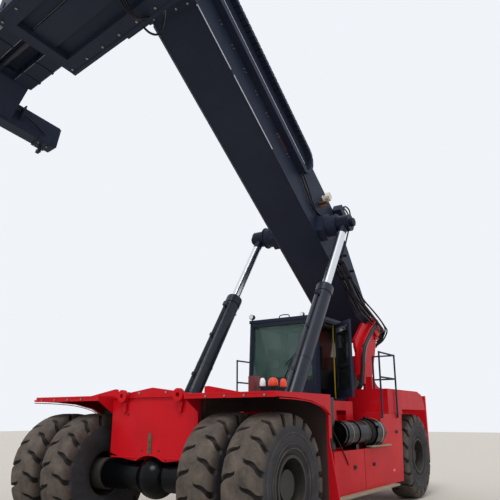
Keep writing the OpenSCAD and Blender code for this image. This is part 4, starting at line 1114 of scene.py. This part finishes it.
def dressRoof(size):
    lenses = Shape(cab)
    for y in size["cornerLamps"]:
        lenses.turned((0.018, y, 1.68), (1, 0, 0), [(0.044, 0.0), (0.04, 0.008), (0.02, 0.014)], 28)
    y, z = size["lampY"], size["lampZ"]
    lenses.turned((0.0, y, z), (1, 0, 0), [(0.036, 0.0), (0.036, 0.01)], 24)
    lenses.ride("roofLampLenses", "cab", "white")
    fittings = Shape(cab)
    fittings.turned((-0.08, y, z), (1, 0, 0), [(0.025, 0.0), (0.042, 0.03), (0.042, 0.08)], 24)
    fittings.rod((-0.04, y, z - 0.05), (-0.04, y, z - 0.02), 0.01)
    fittings.hose([(0.0, across, up) for across, up in size["rail"]], 0.01, 8, 3)
    fittings.ride("roofFittings", "cab", "black_paint", 0.006)


dressRoof(roof)


def dressShell():
    wiper = Shape(cab).rod((0.05, 0.0, 0.36), (0.075, 0.26, 0.86), 0.008, 8)
    wiper.rod((0.078, 0.1, 0.72), (0.066, 0.42, 1.0), 0.01, 8)
    wiper.ride("wiper", "cab", "gasket")
    grab = [(-0.9, 0.67, 0.12), (-0.88, 0.64, 0.16), (-0.88, 0.64, 0.9), (-0.88, 0.64, 1.5),
            (-0.9, 0.67, 1.54)]
    hoses(cab, [grab], 0.013, 10, 4).ride("yellowGrab", "cab", "yellow")
    boxes("lowerPanels", "cab", cab,
          [((-1.28, 0.715, 0.02), (-0.9, 0.728, 0.5)), ((-0.09, -0.5, 0.06), (0.03, 0.5, 0.3))],
          "black_paint", 0.004)
    boxes("cabSill", "cab", cab, [((-1.3, -0.73, -0.02), (0.01, 0.73, 0.03))], "black_paint", 0.006)
    boxes("floorMat", "cab", cab,
          [((-0.95 + 0.08 * k, -0.6, 0.04), (-0.92 + 0.08 * k, 0.6, 0.046)) for k in range(9)], "gasket")


dressShell()

# the door's panes and bars, in the cab's own place with the door shut
door = {"panes": ((0.3, 0.68), (0.76, 1.33)), "rear": -0.79, "front": -0.17, "outside": 0.72, "inside": 0.681,
        "bars": (-0.64, -0.48, -0.32)}


def dressDoor(size):
    rear, front = size["rear"], size["front"]
    # the door's panes are darker than the windows: painted shade
    boxes("doorGlassPaintedShade", "cab_door", openDoor,
          [((rear - 0.005, 0.694, low - 0.004), (front + 0.005, 0.7, high + 0.004))
           for low, high in size["panes"]], "door_glass_painted_shade")
    gaskets = Shape(openDoor)
    for low, high in size["panes"]:
        for level in (size["outside"], size["inside"]):
            windowFrame(gaskets, "Y", level, (rear, low), (front, high), 0.014, 0.005)
    gaskets.ride("doorGaskets", "cab_door", "gasket")
    bars = Shape(openDoor)
    for x in size["bars"]:
        bars.rod((x, 0.732, 0.77), (x, 0.732, 1.32), 0.008, 8)
    bars.box((-0.8, 0.72, 0.69), (-0.16, 0.738, 0.75))
    bars.ride("doorBars", "cab_door", "black_paint")
    grip = ((0.722, 0.52), (0.76, 0.54), (0.765, 0.68), (0.76, 0.8), (0.722, 0.82))
    handle = hoses(openDoor, [[(-0.2, y, z) for y, z in grip]], 0.01, 8, 4)
    handle.box((-0.2, 0.72, 0.6), (-0.14, 0.73, 0.72))
    handle.ride("doorHandle", "cab_door", "gasket")


dressDoor(door)


def dressHead():
    # four hoses cross from the inner boom's head to the yoke
    routes = [[(9.1, y, 0.0), (9.45, y, -0.1), (9.7, y, -0.35), (9.7, y, -0.62), (9.5, y, -0.85)]
              for y in (-0.12 + 0.08 * k for k in range(4))]
    made = hoses(boom, routes, 0.018).object("headHoses", "hose")
    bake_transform(made, "inner_boom", "yoke", start=boom @ Vector((9.45, 0.0, -0.2)),
             end=boom @ Vector((9.6, 0.0, -0.75)))


dressHead()

grille = {"slats": 20, "low": 1.6, "step": 0.018, "slat": 0.008, "half": 0.5}


def dressRear(size, back):
    low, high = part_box("exhaust")
    x, y = (low.x + high.x) / 2 - axleX, (low.y + high.y) / 2
    cap = Shape(machine).turned((x + 0.02, y, high.z + 0.005), (0.25, 0, 1), [(0.07, 0.0), (0.07, 0.008)], 28)
    cap.ring((x, y, high.z - 0.5), (0, 0, 1), 0.108, 0.118, 0.03)
    cap.ride("rainCap", "chassis", "exhaust_steel")
    rear = Shape(machine).rod((back + 0.06, 0.0, 0.95), (back - 0.02, 0.0, 0.95), 0.06)
    for k in (-1, 1):
        rear.turned((back + 0.006, 0.55 * k, 1.5), (-1, 0, 0),
                    [(0.075, 0.0), (0.07, 0.012), (0.03, 0.02)], 28)
    rear.ride("rearLamps", "chassis", "orange")
    starts = [size["low"] + size["step"] * k for k in range(size["slats"])]
    boxes("rearGrille", "chassis", machine,
          [((back - 0.004, -size["half"], z), (back + 0.01, size["half"], z + size["slat"])) for z in starts],
          "deepBlack")


dressRear(grille, sides["rear"])

# stage and light

studio = {"floorHalf": 60.0, "floor": "#b8b2a8", "sky": 0.95, "sun": 1.6}


def makeStage(spec):
    half = spec["floorHalf"]
    mesh = bpy.data.meshes.new("studioFloor")
    corners = [(-half, -half, 0), (half, -half, 0), (half, half, 0), (-half, half, 0)]
    mesh.from_pydata(corners, [], [(0, 1, 2, 3)])
    floor = bpy.data.objects.new("studioFloor", mesh)
    scene.collection.objects.link(floor)
    paint = Paint("studioFloor")
    floor.data.materials.append(paint.finish(Base_Color=linear(spec["floor"]), Roughness=0.9))
    world = bpy.data.worlds.new("studioSky")
    world.use_nodes = True
    back = world.node_tree.nodes["Background"]
    back.inputs["Color"].default_value = (0.92, 0.95, 1.0, 1.0)
    back.inputs["Strength"].default_value = spec["sky"]
    scene.world = world
    lamp = bpy.data.lights.new("softSun", "SUN")
    lamp.energy = spec["sun"]
    lamp.angle = math.radians(25)
    sun = bpy.data.objects.new("softSun", lamp)
    sun.rotation_euler = Vector((-0.52, -0.12, -0.84)).to_track_quat("-Z", "Y").to_euler()
    scene.collection.objects.link(sun)


makeStage(studio)
scene.view_settings.view_transform = "Standard"
